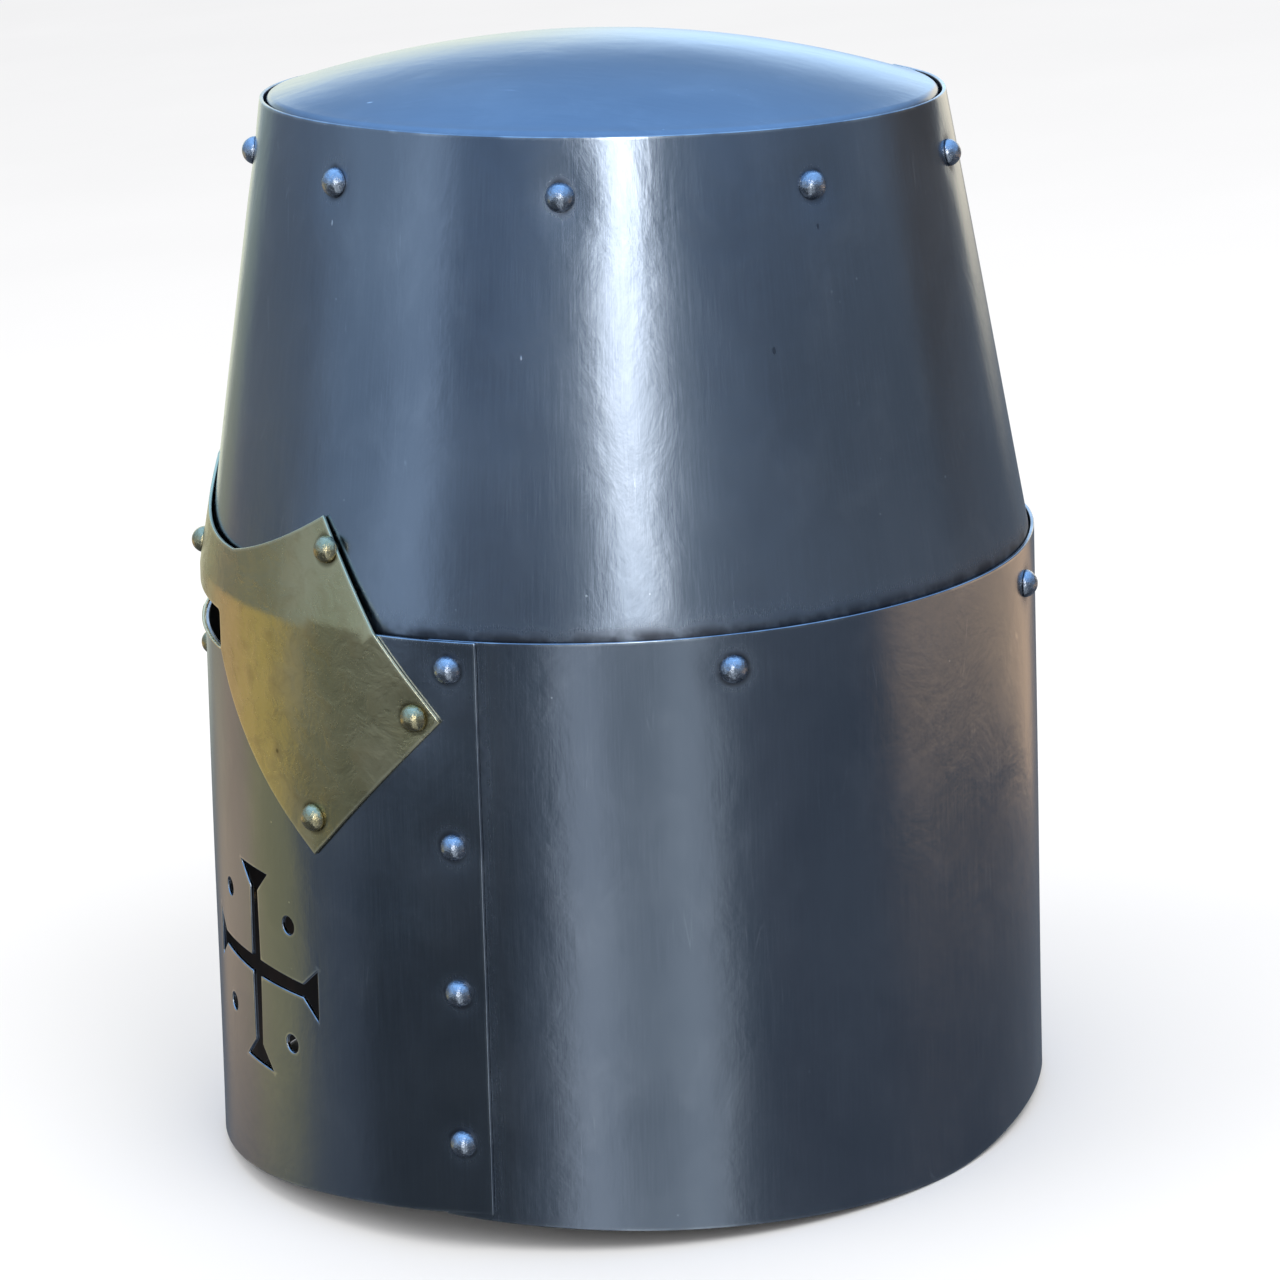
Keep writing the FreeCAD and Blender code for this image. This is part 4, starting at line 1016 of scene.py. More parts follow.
def lace():
    """Three-strand cord drawn round under the tips, knotted at the front."""
    z = TONGUE_TOP_Z - LEATHER - LINER_GAP - LACE_R
    strand = 0.86
    orbit = LACE_R - strand
    parts = []
    turns = 46.0
    around = np.linspace(0.0, 2.0 * math.pi, 560, endpoint=False)
    for k in range(3):
        phase = turns * around + 2.0 * math.pi * k / 3.0
        ring = LACE_RING_R + orbit * np.cos(phase)
        line = np.column_stack([ring * np.sin(around), -ring * np.cos(around), z + orbit * np.sin(phase)])
        parts.append(tube(line, strand, 7, True))
    front = np.array([0.0, LACE_R - LACE_RING_R, z - 3.3])
    knot_turns = np.linspace(0.0, 2.0 * math.pi, 60, endpoint=False)
    for k in range(3):
        lobe = knot_turns + 2.0 * math.pi * k / 3.0
        line = np.column_stack([
            front[0] + 2.2 * np.sin(lobe) + 0.5 * np.sin(2.0 * lobe + k),
            front[1] + 1.9 * np.cos(lobe + 0.7 * k),
            front[2] + 1.5 * np.sin(lobe * 2.0 + 1.1 * k) * 0.6 + 0.8 * (k - 1),
        ])
        parts.append(tube(line, 1.05, 8, True))
    for side in (1.0, -1.0):
        steps = np.linspace(0.0, 1.0, 18)[:, None]
        tail = front + np.array([side * 1.6, 0.4, -1.5]) * np.minimum(1.0, 4.0 * steps)
        tail = tail + np.array([side * 5.5, 2.0, -13.0]) * steps
        tail = tail + np.array([side * 2.2, 0.0, 0.0]) * np.sin(3.0 * steps)
        parts.append(tube(tail, 1.0 + 0.35 * steps[:, 0] ** 8, 8))
    return joined("liner_lace_cord", parts)


# ---------------------------------------------------------------- chin strap

class Bent:
    """A route in a plane: straight runs with rounded corners, then an optional closing arc."""

    def __init__(self, route, radius, fold=None):
        points = [np.array(route[0], float)]
        for before, corner, after in zip(route, route[1:], route[2:]):
            corner = np.array(corner, float)
            back = unit(np.array(before) - corner)
            ahead = unit(np.array(after) - corner)
            half_turn = 0.5 * math.acos(float(np.clip(back @ ahead, -1.0, 1.0)))
            run = radius / math.tan(half_turn)
            middle = back + ahead
            centre = corner + middle / np.linalg.norm(middle) * radius / math.sin(half_turn)
            first = corner + back * run - centre
            last = corner + ahead * run - centre
            start = math.atan2(first[1], first[0])
            sweep = (math.atan2(last[1], last[0]) - start + math.pi) % (2.0 * math.pi) - math.pi
            for k in range(25):
                angle = start + sweep * k / 24.0
                points.append(centre + radius * np.array([math.cos(angle), math.sin(angle)]))
        points.append(np.array(route[-1], float))
        if fold is not None:
            centre, bend, tail = fold
            for k in range(1, 25):
                angle = 0.5 * math.pi + math.pi * k / 24.0
                points.append(np.array(centre) + bend * np.array([math.cos(angle), math.sin(angle)]))
            points.append(points[-1] + np.array([tail, 0.0]))
        points = np.array(points)
        keep = np.concatenate([[True], np.linalg.norm(np.diff(points, axis=0), axis=1) > 1e-6])
        self.points = points[keep]
        self.at = np.concatenate([[0.0], np.cumsum(np.linalg.norm(np.diff(self.points, axis=0), axis=1))])
        self.length = float(self.at[-1])

    def __call__(self, a):
        return np.stack([np.interp(a, self.at, self.points[:, k]) for k in (0, 1)], -1)

    def normal(self, a):
        step = unit(self(np.minimum(a + 0.6, self.length)) - self(np.maximum(a - 0.6, 0.0)))
        return np.stack([-step[..., 1], step[..., 0]], -1)


def ribbon_surface(path, y, lift):
    """Points lift outside the middle of a strap that follows a route in the XZ plane."""
    def at(a, b):
        flat = path(a) + path.normal(a) * lift
        return np.stack([flat[..., 0], y + b, flat[..., 1]], -1)
    return at


def slit(a, length, width):
    """A slot with round ends, its middle at a."""
    r = width / 2.0
    points = []
    for end, start in ((1.0, -90.0), (-1.0, 90.0)):
        for k in range(7):
            turn = math.radians(start + 30.0 * k)
            points.append((a + end * (length / 2.0 - r) + r * math.cos(turn), r * math.sin(turn)))
    return points


def strap_end(a, half, point):
    """Corner points of a strap's pointed or rounded end."""
    return [(a - point, half), (a - 0.35 * point, 0.72 * half), (a, 0.32 * half),
            (a, -0.32 * half), (a - 0.35 * point, -0.72 * half), (a - point, -half)]


def strap_head(half):
    """The clipped corners of a strap's end at the pin, from one side and from the other."""
    corners = [(0.0, half - 4.0), (1.2, half - 1.2), (4.0, half)]
    return [(a, -b) for a, b in corners], corners[::-1]


def strap_sewing(surface, last):
    """Stitches along both edges of a strap, on both its faces, up to a given length."""
    starts = [(a, side * (STRAP_WIDTH / 2.0 - STRAP_STITCH_INSET), 1.0, 0.0)
              for side in (1.0, -1.0) for a in np.arange(8.0, last, STRAP_STITCH_STEP)]
    sewing = []
    for depth in (0.0, STRAP):
        sewing += stitch_row(surface, starts, depth, STRAP_STITCH, STRAP_THREAD)
    return sewing


def straps():
    """The two straps, their stitches and the keeper, as (name, node, object)."""
    low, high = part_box("strap_eyelet_left")
    pin = np.array([high.x / MM + EYELET_OUT, 0.5 * (low.y + high.y) / MM, 0.5 * (low.z + high.z) / MM])
    x = pin[0] - EYELET_OUT - EYELET_FLANGE - STRAP / 2.0
    top = pin[2] + STRAP_OVER_PIN
    bottom = pin[2] - STRAP_LOW
    fold = BUCKLE_WIRE / 2.0 + FOLD_GAP + STRAP
    mid = fold - STRAP / 2.0
    bar = bottom + STRAP / 2.0 + WIRE_GAP + fold
    half = STRAP_WIDTH / 2.0
    first_corners, last_corners = strap_head(half)
    eyelet_hole = round_hole(STRAP_OVER_PIN, 0.0, EYELET_R + 0.02, 24)
    made = []

    def cut(name, node, outline, holes, surface, thickness, edge_r, grid, step):
        made.append((name, node, plate(name, outline, holes, surface, thickness, edge_r, grid, step,
                                       place=IN_ROW_FRAME)))

    def sew(name, sewing):
        made.append((name, None, joined(name, sewing, IN_ROW_FRAME)))

    long_path = Bent([(-x, top), (-x, pin[2] - LONG_END_STRAIGHT),
                      (-x + LONG_END_SLANT, bottom), (LONG_END_TIP_X, bottom)], LONG_END_BEND_R)
    end = long_path.length
    middle = end - LONG_END_TIP_X
    outline = first_corners + strap_end(end, half, 6.0)[::-1] + last_corners
    holes = [eyelet_hole, slit(middle + PRONG_SLOT_X + PRONG_SLOT[0] / 2.0, *PRONG_SLOT)]
    holes += [round_hole(middle + hole, 0.0, SPARE_HOLE_R) for hole in SPARE_HOLE_X]
    surface = ribbon_surface(long_path, pin[1], STRAP / 2.0)
    cut("chin_strap_long_end", "chin_strap_right", outline, holes, surface, STRAP, 0.5, 2.4, 1.2)
    sew("chin_strap_long_stitches", strap_sewing(surface, end - 9.0))

    short_path = Bent([(x, top), (x, pin[2] - SHORT_END_STRAIGHT),
                       (x - SHORT_END_SLANT, bar + mid), (BUCKLE_BAR_X, bar + mid)], SHORT_END_BEND_R,
                      ((BUCKLE_BAR_X, bar), mid, FOLD_RUN))
    end = short_path.length
    turn_at = end - FOLD_RUN - 0.5 * math.pi * mid
    outline = first_corners + [(end, -half), (end, half)] + last_corners
    holes = [eyelet_hole, slit(turn_at, 2.0 * FOLD_SLOT[0], FOLD_SLOT[1])]
    surface = ribbon_surface(short_path, pin[1], STRAP / 2.0)
    cut("chin_strap_short_end", "chin_strap_left", outline, holes, surface, STRAP, 0.5, 1.6, 0.9)
    block = [(end - back, b, 0.0, 1.0) for back in (3.0, 9.0) for b in np.arange(-6.0, 6.5, 3.0)]
    sewing = strap_sewing(surface, end - FOLD_RUN - math.pi * mid - 1.0)
    sew("chin_strap_short_stitches", sewing + stitch_row(surface, block, 0.0, 2.2, 0.7))

    low_z = bottom - STRAP / 2.0 - KEEPER_GAP - KEEPER_WALL
    high_z = bar + fold + KEEPER_GAP + KEEPER_WALL
    reach = half + KEEPER_GAP + KEEPER_WALL
    loop = Bent([(0.05, high_z), (-reach, high_z), (-reach, low_z),
                 (reach, low_z), (reach, high_z), (-0.05, high_z)], 2.0)

    def keeper_surface(a, b):
        flat = loop(a)
        return np.stack([BUCKLE_BAR_X + KEEPER_X + b, pin[1] + flat[..., 0], flat[..., 1]], -1)
    outline = [(0.0, 0.0), (loop.length, 0.0), (loop.length, KEEPER_WIDTH), (0.0, KEEPER_WIDTH)]
    cut("strap_keeper_loop", "strap_keeper", outline, [], keeper_surface, KEEPER_WALL, 0.45, 1.4, 0.8)
    return made


# ---------------------------------------------------------------- materials

class Nodes:
    """Short ways to wire a node material."""

    def __init__(self, name):
        self.material = bpy.data.materials.new(name)
        self.material.use_nodes = True
        self.tree = self.material.node_tree
        self.tree.nodes.clear()
        self.shader = self.add("ShaderNodeBsdfPrincipled")
        out = self.add("ShaderNodeOutputMaterial")
        self.link(self.shader.outputs[0], out.inputs["Surface"])

    def add(self, kind, **settings):
        node = self.tree.nodes.new(kind)
        for key, value in settings.items():
            setattr(node, key, value)
        return node

    def link(self, source, target):
        self.tree.links.new(source, target)

    def feed(self, socket, value):
        if isinstance(value, bpy.types.NodeSocket):
            self.link(value, socket)
        elif value is not None:
            socket.default_value = value

    def finished(self, colour, metallic, rough, normal):
        """Feed the shader and hand back the material."""
        for name, value in (("Base Color", colour), ("Metallic", metallic),
                            ("Roughness", rough), ("Normal", normal)):
            self.feed(self.shader.inputs[name], value)
        return self.material

    def height_of(self, vector):
        split = self.add("ShaderNodeSeparateXYZ")
        self.link(vector, split.inputs[0])
        return split.outputs[2]

    def attribute(self, name, output):
        return self.add("ShaderNodeAttribute", attribute_name=name).outputs[output]

    def stretch(self, vector, scale):
        node = self.add("ShaderNodeMapping")
        self.link(vector, node.inputs["Vector"])
        node.inputs["Scale"].default_value = scale
        return node.outputs[0]

    def noise(self, vector, scale, detail=4.0, rough=0.55, warp=0.0):
        node = self.add("ShaderNodeTexNoise")
        self.link(vector, node.inputs["Vector"])
        node.inputs["Scale"].default_value = scale
        node.inputs["Detail"].default_value = detail
        node.inputs["Roughness"].default_value = rough
        node.inputs["Distortion"].default_value = warp
        return node.outputs[0]

    def ramp(self, value, low, high, to_low=0.0, to_high=1.0, smoothly=True):
        node = self.add("ShaderNodeMapRange", interpolation_type="SMOOTHSTEP" if smoothly else "LINEAR")
        self.feed(node.inputs["Value"], value)
        for key, number in (("From Min", low), ("From Max", high), ("To Min", to_low), ("To Max", to_high)):
            node.inputs[key].default_value = number
        return node.outputs[0]

    def math(self, kind, first, second=0.0):
        node = self.add("ShaderNodeMath", operation=kind)
        self.feed(node.inputs[0], first)
        self.feed(node.inputs[1], second)
        return node.outputs[0]

    def mix(self, share, first, second):
        node = self.add("ShaderNodeMix", data_type="RGBA")
        self.feed(node.inputs["Factor"], share)
        colours = [s for s in node.inputs if s.type == "RGBA"]
        for socket, value in zip(colours, (first, second)):
            self.feed(socket, (*value, 1.0) if isinstance(value, tuple) else value)
        return [s for s in node.outputs if s.type == "RGBA"][0]

    def bump(self, height, strength, distance, normal=None):
        node = self.add("ShaderNodeBump")
        self.feed(node.inputs["Height"], height)
        node.inputs["Strength"].default_value = strength
        node.inputs["Distance"].default_value = distance
        if normal is not None:
            self.link(normal, node.inputs["Normal"])
        return node.outputs[0]


STEEL_DARK = (0.205, 0.235, 0.280)
STEEL_MID = (0.265, 0.295, 0.340)
STEEL_LIGHT = (0.345, 0.370, 0.410)
STEEL_BARE = (0.80, 0.82, 0.84)
STEEL_EDGE = (0.52, 0.55, 0.58)
# Rust spots and painted shade share the darkest colour; the two inside colours are painted shade.
RUST_AND_SHADE_DARK = (0.035, 0.032, 0.034)
INSIDE_SHADE_BLACK = (0.022, 0.022, 0.024)
INSIDE_SHADE_BROWN = (0.060, 0.045, 0.036)
STEEL_ROUGH = 0.19

BRASS_OLIVE = (0.50, 0.43, 0.22)
BRASS_GOLD = (0.64, 0.53, 0.30)
BRASS_BROWN = (0.38, 0.26, 0.12)
BRASS_PALE = (0.74, 0.66, 0.40)
BRASS_EDGE = (0.80, 0.70, 0.44)


def specks(n, place, scale, wanted, size):
    """A scatter of small spots: 1 inside a spot, 0 between."""
    cell = n.add("ShaderNodeTexVoronoi", feature="F1")
    n.link(place, cell.inputs["Vector"])
    cell.inputs["Scale"].default_value = scale
    pick = n.add("ShaderNodeSeparateColor")
    n.link(cell.outputs["Color"], pick.inputs[0])
    chosen = n.ramp(pick.outputs[0], wanted, wanted + 0.02, 1.0, 0.0, False)
    reach = n.math("MULTIPLY", pick.outputs[1], size)
    beyond = n.math("SUBTRACT", cell.outputs["Distance"], reach)
    inside_spot = n.ramp(beyond, -0.3 * size, 0.3 * size, 1.0, 0.0)
    return n.math("MULTIPLY", chosen, inside_spot)


def steel_material():
    """Dark polished sheet: sanding marks, scratches, rust spots, painted shade at rivets and seams, bright
    edges that are part wear and part painted highlight, and the inside painted near black as shade.
    """
    n = Nodes("steel_sheet")
    place = n.attribute("sheet", "Vector")
    edge = n.attribute("edge", "Fac")
    painted_shade = n.attribute("painted_shade", "Fac")
    cloud = n.noise(n.stretch(place, (0.014, 0.010, 0.014)), 1.0, 3.0, 0.5, 0.4)
    blotch = n.noise(n.stretch(place, (0.05, 0.035, 0.05)), 1.0, 5.0, 0.6, 0.3)
    brush = n.noise(n.stretch(place, (2.6, 0.04, 1.0)), 1.0, 5.0, 0.65)
    fine = n.noise(n.stretch(place, (9.0, 0.25, 1.0)), 1.0, 3.0, 0.6)
    shade = n.mix(n.ramp(cloud, 0.3, 0.7), STEEL_DARK, STEEL_MID)
    shade = n.mix(n.ramp(blotch, 0.45, 0.75, 0.0, 0.30), shade, STEEL_LIGHT)
    shade = n.mix(n.ramp(brush, 0.40, 0.80, 0.0, 0.22), shade, STEEL_LIGHT)
    long_scratch = n.add("ShaderNodeTexVoronoi", feature="DISTANCE_TO_EDGE")
    n.link(n.stretch(place, (0.9, 0.035, 1.0)), long_scratch.inputs["Vector"])
    long_scratch.inputs["Scale"].default_value = 0.35
    gate = n.ramp(n.noise(n.stretch(place, (0.06, 0.05, 0.06)), 1.0, 2.0), 0.58, 0.68)
    scratch = n.math("MULTIPLY", n.ramp(long_scratch.outputs[0], 0.0, 0.012, 1.0, 0.0), gate)
    nick = specks(n, n.stretch(place, (1.0, 0.45, 1.0)), 0.15, 0.035, 0.07)
    glint = specks(n, place, 0.40, 0.035, 0.12)
    bright = n.math("MAXIMUM", n.math("MULTIPLY", scratch, 0.15), n.math("MULTIPLY", nick, 0.85))
    bright = n.math("MAXIMUM", bright, n.math("MULTIPLY", glint, 0.35))
    shade = n.mix(bright, shade, STEEL_BARE)
    spot = n.math("MULTIPLY", specks(n, n.stretch(place, (1.0, 0.6, 1.0)), 0.10, 0.10, 0.075), 0.6)
    shade = n.mix(spot, shade, RUST_AND_SHADE_DARK)
    # Painted shade at rivet heads, along the seams and above the rim step, broken up raggedly.
    ragged_shade = n.math("MULTIPLY", painted_shade, n.ramp(n.noise(place, 0.12, 3.0, 0.5), 0.30, 0.62, 0.45, 1.0))
    shade = n.mix(n.ramp(ragged_shade, 0.10, 1.0, 0.0, 0.85), shade, RUST_AND_SHADE_DARK)
    # Bright edges: part edge wear, part painted highlight.
    worn_edge_and_painted_highlight = n.math("MULTIPLY", n.ramp(edge, 0.55, 1.0), n.ramp(blotch, 0.40, 0.60, 0.10, 0.75))
    shade = n.mix(worn_edge_and_painted_highlight, shade, STEEL_EDGE)
    # Painted shade: the inside of the sheet is painted near black, as the inside of the helm lies in shade.
    inner = n.ramp(n.height_of(place), -0.95, -0.75, 1.0, 0.0)
    scale = n.mix(n.ramp(blotch, 0.40, 0.65), INSIDE_SHADE_BLACK, INSIDE_SHADE_BROWN)
    shade = n.mix(inner, shade, scale)
    metallic = n.math("SUBTRACT", 1.0, n.math("MULTIPLY", inner, 0.7))
    rough = n.ramp(cloud, 0.25, 0.8, STEEL_ROUGH - 0.02, STEEL_ROUGH + 0.05)
    rough = n.math("ADD", rough, n.ramp(brush, 0.3, 0.8, -0.02, 0.05))
    rough = n.math("ADD", rough, n.math("MULTIPLY", n.math("MAXIMUM", spot, ragged_shade), 0.25))
    rough = n.math("ADD", rough, n.math("MULTIPLY", inner, 0.35))
    height = n.bump(brush, 0.08, 0.00008)
    height = n.bump(fine, 0.08, 0.00004, height)
    height = n.bump(blotch, 0.22, 0.0008, height)
    height = n.bump(bright, 0.25, 0.00005, height)
    return n.finished(shade, metallic, rough, height)


def fitting_material():
    """Bright drawn wire and plate of the strap's fittings."""
    n = Nodes("steel_fittings")
    place = n.stretch(n.add("ShaderNodeTexCoord").outputs["Object"], (1000.0, 1000.0, 1000.0))
    cloud = n.noise(place, 0.25, 4.0, 0.6)
    grain = n.noise(n.stretch(place, (1.0, 6.0, 1.0)), 1.5, 3.0, 0.6)
    shade = n.mix(n.ramp(cloud, 0.3, 0.7), (0.42, 0.43, 0.45), (0.60, 0.61, 0.62))
    shade = n.mix(n.ramp(n.noise(place, 0.9, 4.0, 0.7), 0.62, 0.75, 0.0, 0.7), shade, (0.16, 0.12, 0.09))
    return n.finished(shade, 1.0, n.ramp(cloud, 0.3, 0.8, 0.26, 0.42), n.bump(grain, 0.15, 0.00008))


def rivet_material(name, body, worn, dirt_and_shade):
    n = Nodes(name)
    place = n.attribute("sheet", "Vector")
    edge = n.attribute("edge", "Fac")
    cloud = n.noise(place, 0.35, 4.0, 0.6)
    pits = n.noise(place, 1.7, 4.0, 0.6)
    shade = n.mix(n.ramp(cloud, 0.3, 0.7), body, worn)
    # Painted shade: the head darkens towards its base where it meets the sheet, and on the shank and tail.
    shade = n.mix(n.ramp(edge, 0.55, 1.0, 0.0, 0.85), shade, dirt_and_shade)
    bumped = n.bump(pits, 0.3, 0.00015, n.bump(cloud, 0.6, 0.0008))
    return n.finished(shade, 1.0, n.ramp(pits, 0.3, 0.8, 0.20, 0.34), bumped)


def brass_material():
    """Dull olive-gold sheet with browner bruises, fine sanding marks, painted shade round the rivets and
    bright edges that are part wear and part painted highlight.
    """
    n = Nodes("brass_sheet")
    place = n.attribute("sheet", "Vector")
    edge = n.attribute("edge", "Fac")
    painted_shade = n.attribute("painted_shade", "Fac")
    cloud = n.noise(n.stretch(place, (0.03, 0.022, 0.03)), 1.0, 4.0, 0.55, 0.5)
    blotch = n.noise(place, 0.13, 5.0, 0.65, 0.4)
    brush = n.noise(n.stretch(place, (0.25, 4.0, 1.0)), 1.0, 4.0, 0.6)
    shade = n.mix(n.ramp(cloud, 0.3, 0.7), BRASS_OLIVE, BRASS_GOLD)
    shade = n.mix(n.ramp(blotch, 0.45, 0.8, 0.0, 0.5), shade, BRASS_BROWN)
    shade = n.mix(n.ramp(brush, 0.4, 0.8, 0.0, 0.2), shade, BRASS_PALE)
    spot = specks(n, place, 0.10, 0.18, 0.08)
    shade = n.mix(n.math("MULTIPLY", spot, 0.7), shade, (0.10, 0.07, 0.03))
    # Painted shade round the rivet heads.
    shade = n.mix(n.ramp(painted_shade, 0.3, 1.0, 0.0, 0.8), shade, (0.07, 0.05, 0.02))
    # Bright edges: part edge wear, part painted highlight.
    shade = n.mix(n.ramp(edge, 0.5, 1.0, 0.0, 0.85), shade, BRASS_EDGE)
    rough = n.math("ADD", n.ramp(cloud, 0.3, 0.8, 0.22, 0.33), n.ramp(blotch, 0.4, 0.8, 0.0, 0.10))
    bumped = n.bump(blotch, 0.35, 0.0006, n.bump(brush, 0.10, 0.00006))
    return n.finished(shade, 1.0, rough, bumped)


def leather_material(name, dark, light, flesh, crease_at=None):
    """Vegetable-tanned leather: pebbled grain, darkened edges, a paler napped underside."""
    n = Nodes(name)
    place = n.attribute("sheet", "Vector")
    edge = n.attribute("edge", "Fac")
    split = n.add("ShaderNodeSeparateXYZ")
    n.link(place, split.inputs[0])
    side = n.ramp(split.outputs[2], -0.9, -0.6, 1.0, 0.0)
    cloud = n.noise(place, 0.035, 5.0, 0.6, 0.5)
    mottle = n.noise(place, 0.22, 5.0, 0.65)
    pores = n.add("ShaderNodeTexVoronoi", feature="DISTANCE_TO_EDGE")
    n.link(place, pores.inputs["Vector"])
    pores.inputs["Scale"].default_value = 0.85
    pebble = n.ramp(pores.outputs[0], 0.0, 0.35)
    nap = n.noise(n.stretch(place, (1.0, 0.4, 1.0)), 2.2, 4.0, 0.7)
    shade = n.mix(n.ramp(cloud, 0.3, 0.7), dark, light)
    shade = n.mix(n.ramp(mottle, 0.40, 0.75, 0.0, 0.45), shade, dark)
    shade = n.mix(n.ramp(pebble, 0.0, 0.5, 0.35, 0.0), shade, tuple(0.45 * c for c in dark))
    under = n.mix(n.ramp(nap, 0.3, 0.7, 0.0, 0.5), flesh, tuple(0.7 * c for c in flesh))
    shade = n.mix(side, shade, under)
    shade = n.mix(n.ramp(edge, 0.45, 1.0, 0.0, 0.8), shade, tuple(0.4 * c for c in dark))
    height = n.mix(side, n.math("MULTIPLY", pebble, 0.6), nap)
    bumped = n.bump(height, 0.35, 0.00025)
    bumped = n.bump(mottle, 0.25, 0.0006, bumped)
    if crease_at is not None:
        off = n.math("ABSOLUTE", n.math("SUBTRACT", n.math("ABSOLUTE", split.outputs[1]), crease_at))
        crease = n.ramp(off, 0.0, 0.35, 0.0, 1.0)
        shade = n.mix(n.ramp(crease, 0.0, 1.0, 0.7, 0.0), shade, tuple(0.35 * c for c in dark))
        bumped = n.bump(crease, 0.6, 0.0004, bumped)
    rough = n.math("ADD", n.ramp(mottle, 0.3, 0.8, 0.42, 0.60), n.math("MULTIPLY", side, 0.25))
    n.shader.inputs["Specular IOR Level"].default_value = 0.4
    return n.finished(shade, None, rough, bumped)


def thread_material(name, pale, dark, scale):
    """Waxed linen: twisted fibres and handling dirt."""
    n = Nodes(name)
    place = n.attribute("sheet", "Vector")
    fibre = n.add("ShaderNodeTexWave", bands_direction="DIAGONAL")
    n.link(place, fibre.inputs["Vector"])
    fibre.inputs["Scale"].default_value = scale
    fibre.inputs["Distortion"].default_value = 3.0
    dirt_and_shade = n.noise(place, 0.12, 4.0, 0.6)
    shade = n.mix(fibre.outputs["Fac"], dark, pale)
    shade = n.mix(n.ramp(dirt_and_shade, 0.45, 0.75, 0.0, 0.5), shade, dark)
    n.shader.inputs["Sheen Weight"].default_value = 0.3
    rough = n.ramp(dirt_and_shade, 0.3, 0.8, 0.75, 0.92)
    return n.finished(shade, None, rough, n.bump(fibre.outputs["Fac"], 0.4, 0.0002))


# ---------------------------------------------------------------- stage

FLOOR_HALF = 9.0
# name, bearing, height, distance, size, power
SOFTBOXES = (("key", 60.0, 1.9, 1.3, 1.2, 16.0), ("fill", -60.0, 1.5, 1.6, 1.4, 7.0))


def place_camera():
    """The photograph's viewpoint, found in helm axes and stood with the helm."""
    angle = math.radians(CAM_AZIMUTH)

    def axes(bearing, tilt=0.0):
        level = math.cos(tilt)
        return Vector((math.sin(bearing) * level, -math.cos(bearing) * level, math.sin(tilt)))
    spot = axes(angle) * CAM_DISTANCE + Vector((0, 0, CAM_HEIGHT))
    back = axes(angle + CAM_YAW, CAM_PITCH)
    right = Vector((0, 0, 1)).cross(back).normalized()
    up = back.cross(right)
    turned_right = right * math.cos(CAM_ROLL) + up * math.sin(CAM_ROLL)
    turned_up = up * math.cos(CAM_ROLL) - right * math.sin(CAM_ROLL)
    lean = Matrix.Rotation(math.radians(-LEAN_DEG), 3, "X")
    rotation = Matrix([lean @ v for v in (turned_right, turned_up, back)]).transposed()
    data = bpy.data.cameras.new("view")
    data.sensor_width = SENSOR
    data.lens = LENS
    data.clip_end = 50.0
    camera = bpy.data.objects.new("view", data)
    camera.matrix_world = Matrix.Translation(STAND @ spot) @ rotation.to_4x4()
    bpy.context.scene.collection.objects.link(camera)
    bpy.context.scene.camera = camera


def plain_floor():
    size = FLOOR_HALF
    corners = [(-size, -size, 0), (size, -size, 0), (size, size, 0), (-size, size, 0)]
    mesh = bpy.data.meshes.new("floor")
    mesh.from_pydata(corners, [], [(0, 1, 2, 3)])
    floor = bpy.data.objects.new("floor", mesh)
    bpy.context.scene.collection.objects.link(floor)
    n = Nodes("pale_floor")
    cloud = n.noise(n.add("ShaderNodeTexCoord").outputs["Object"], 3.0, 3.0)
    n.link(n.mix(cloud, (0.86, 0.86, 0.86), (0.90, 0.90, 0.90)), n.shader.inputs["Base Color"])
    n.shader.inputs["Roughness"].default_value = 0.9
    n.shader.inputs["Specular IOR Level"].default_value = 0.0
    mesh.materials.append(n.material)
    floor.visible_glossy = False


# What the polished steel mirrors, by compass bearing and height (sine of the angle above the horizon):
# bearing, half width and softness in degrees, height from and to, softness, colour, share.
REFLECTORS = [
    # ground: warm in front of the face, dark beside it, pale under the main light
    (-114.0, 12.0, 14.0, -0.355, -0.10, 0.05, (0.72, 0.55, 0.40), 0.9),
    (-91.0, 7.0, 10.0, -0.350, -0.06, 0.04, (0.62, 0.56, 0.28), 0.85),
    (-40.0, 18.0, 10.0, -0.75, -0.22, 0.05, (0.062, 0.074, 0.084), 0.85),
    (12.0, 16.0, 7.0, -0.95, -0.14, 0.05, (0.46, 0.53, 0.60), 0.85),
    (28.0, 3.0, 7.0, -0.95, -0.14, 0.05, (0.66, 0.74, 0.82), 0.85),
    (0.0, 3.0, 6.0, -0.95, -0.14, 0.05, (0.80, 0.88, 0.98), 0.85),
    # warm wall behind the wearer's head, low down
    (130.0, 36.0, 14.0, -0.350, -0.27, 0.012, (1.15, 0.80, 0.54), 0.95),
    # dim warm stretch at the back left
    (136.0, 15.0, 12.0, -0.09, 0.22, 0.06, (0.150, 0.135, 0.125), 0.9),
    # soft blue strip on the face's left
    (-43.0, 5.0, 4.0, -0.12, 0.40, 0.10, (1.10, 1.35, 1.70), 0.85),
    (-54.0, 9.0, 20.0, -0.12, 0.40, 0.10, (0.42, 0.56, 0.74), 0.8),
    # cream strips towards the wearer's right front
    (-128.0, 4.0, 8.0, -0.25, 0.35, 0.08, (0.40, 0.46, 0.34), 0.7),
    (-150.0, 8.0, 8.0, -0.25, 0.25, 0.08, (1.30, 1.35, 1.05), 0.85),
    (173.0, 9.0, 6.0, -0.14, 0.25, 0.06, (1.60, 1.45, 1.15), 0.9),
    # tall main light and its halo
    (16.0, 6.0, 22.0, -0.10, 0.55, 0.06, (0.42, 0.51, 0.61), 0.75),
    (15.5, 3.5, 4.5, 0.06, 0.60, 0.15, (6.0, 6.2, 6.4), 1.0),
]
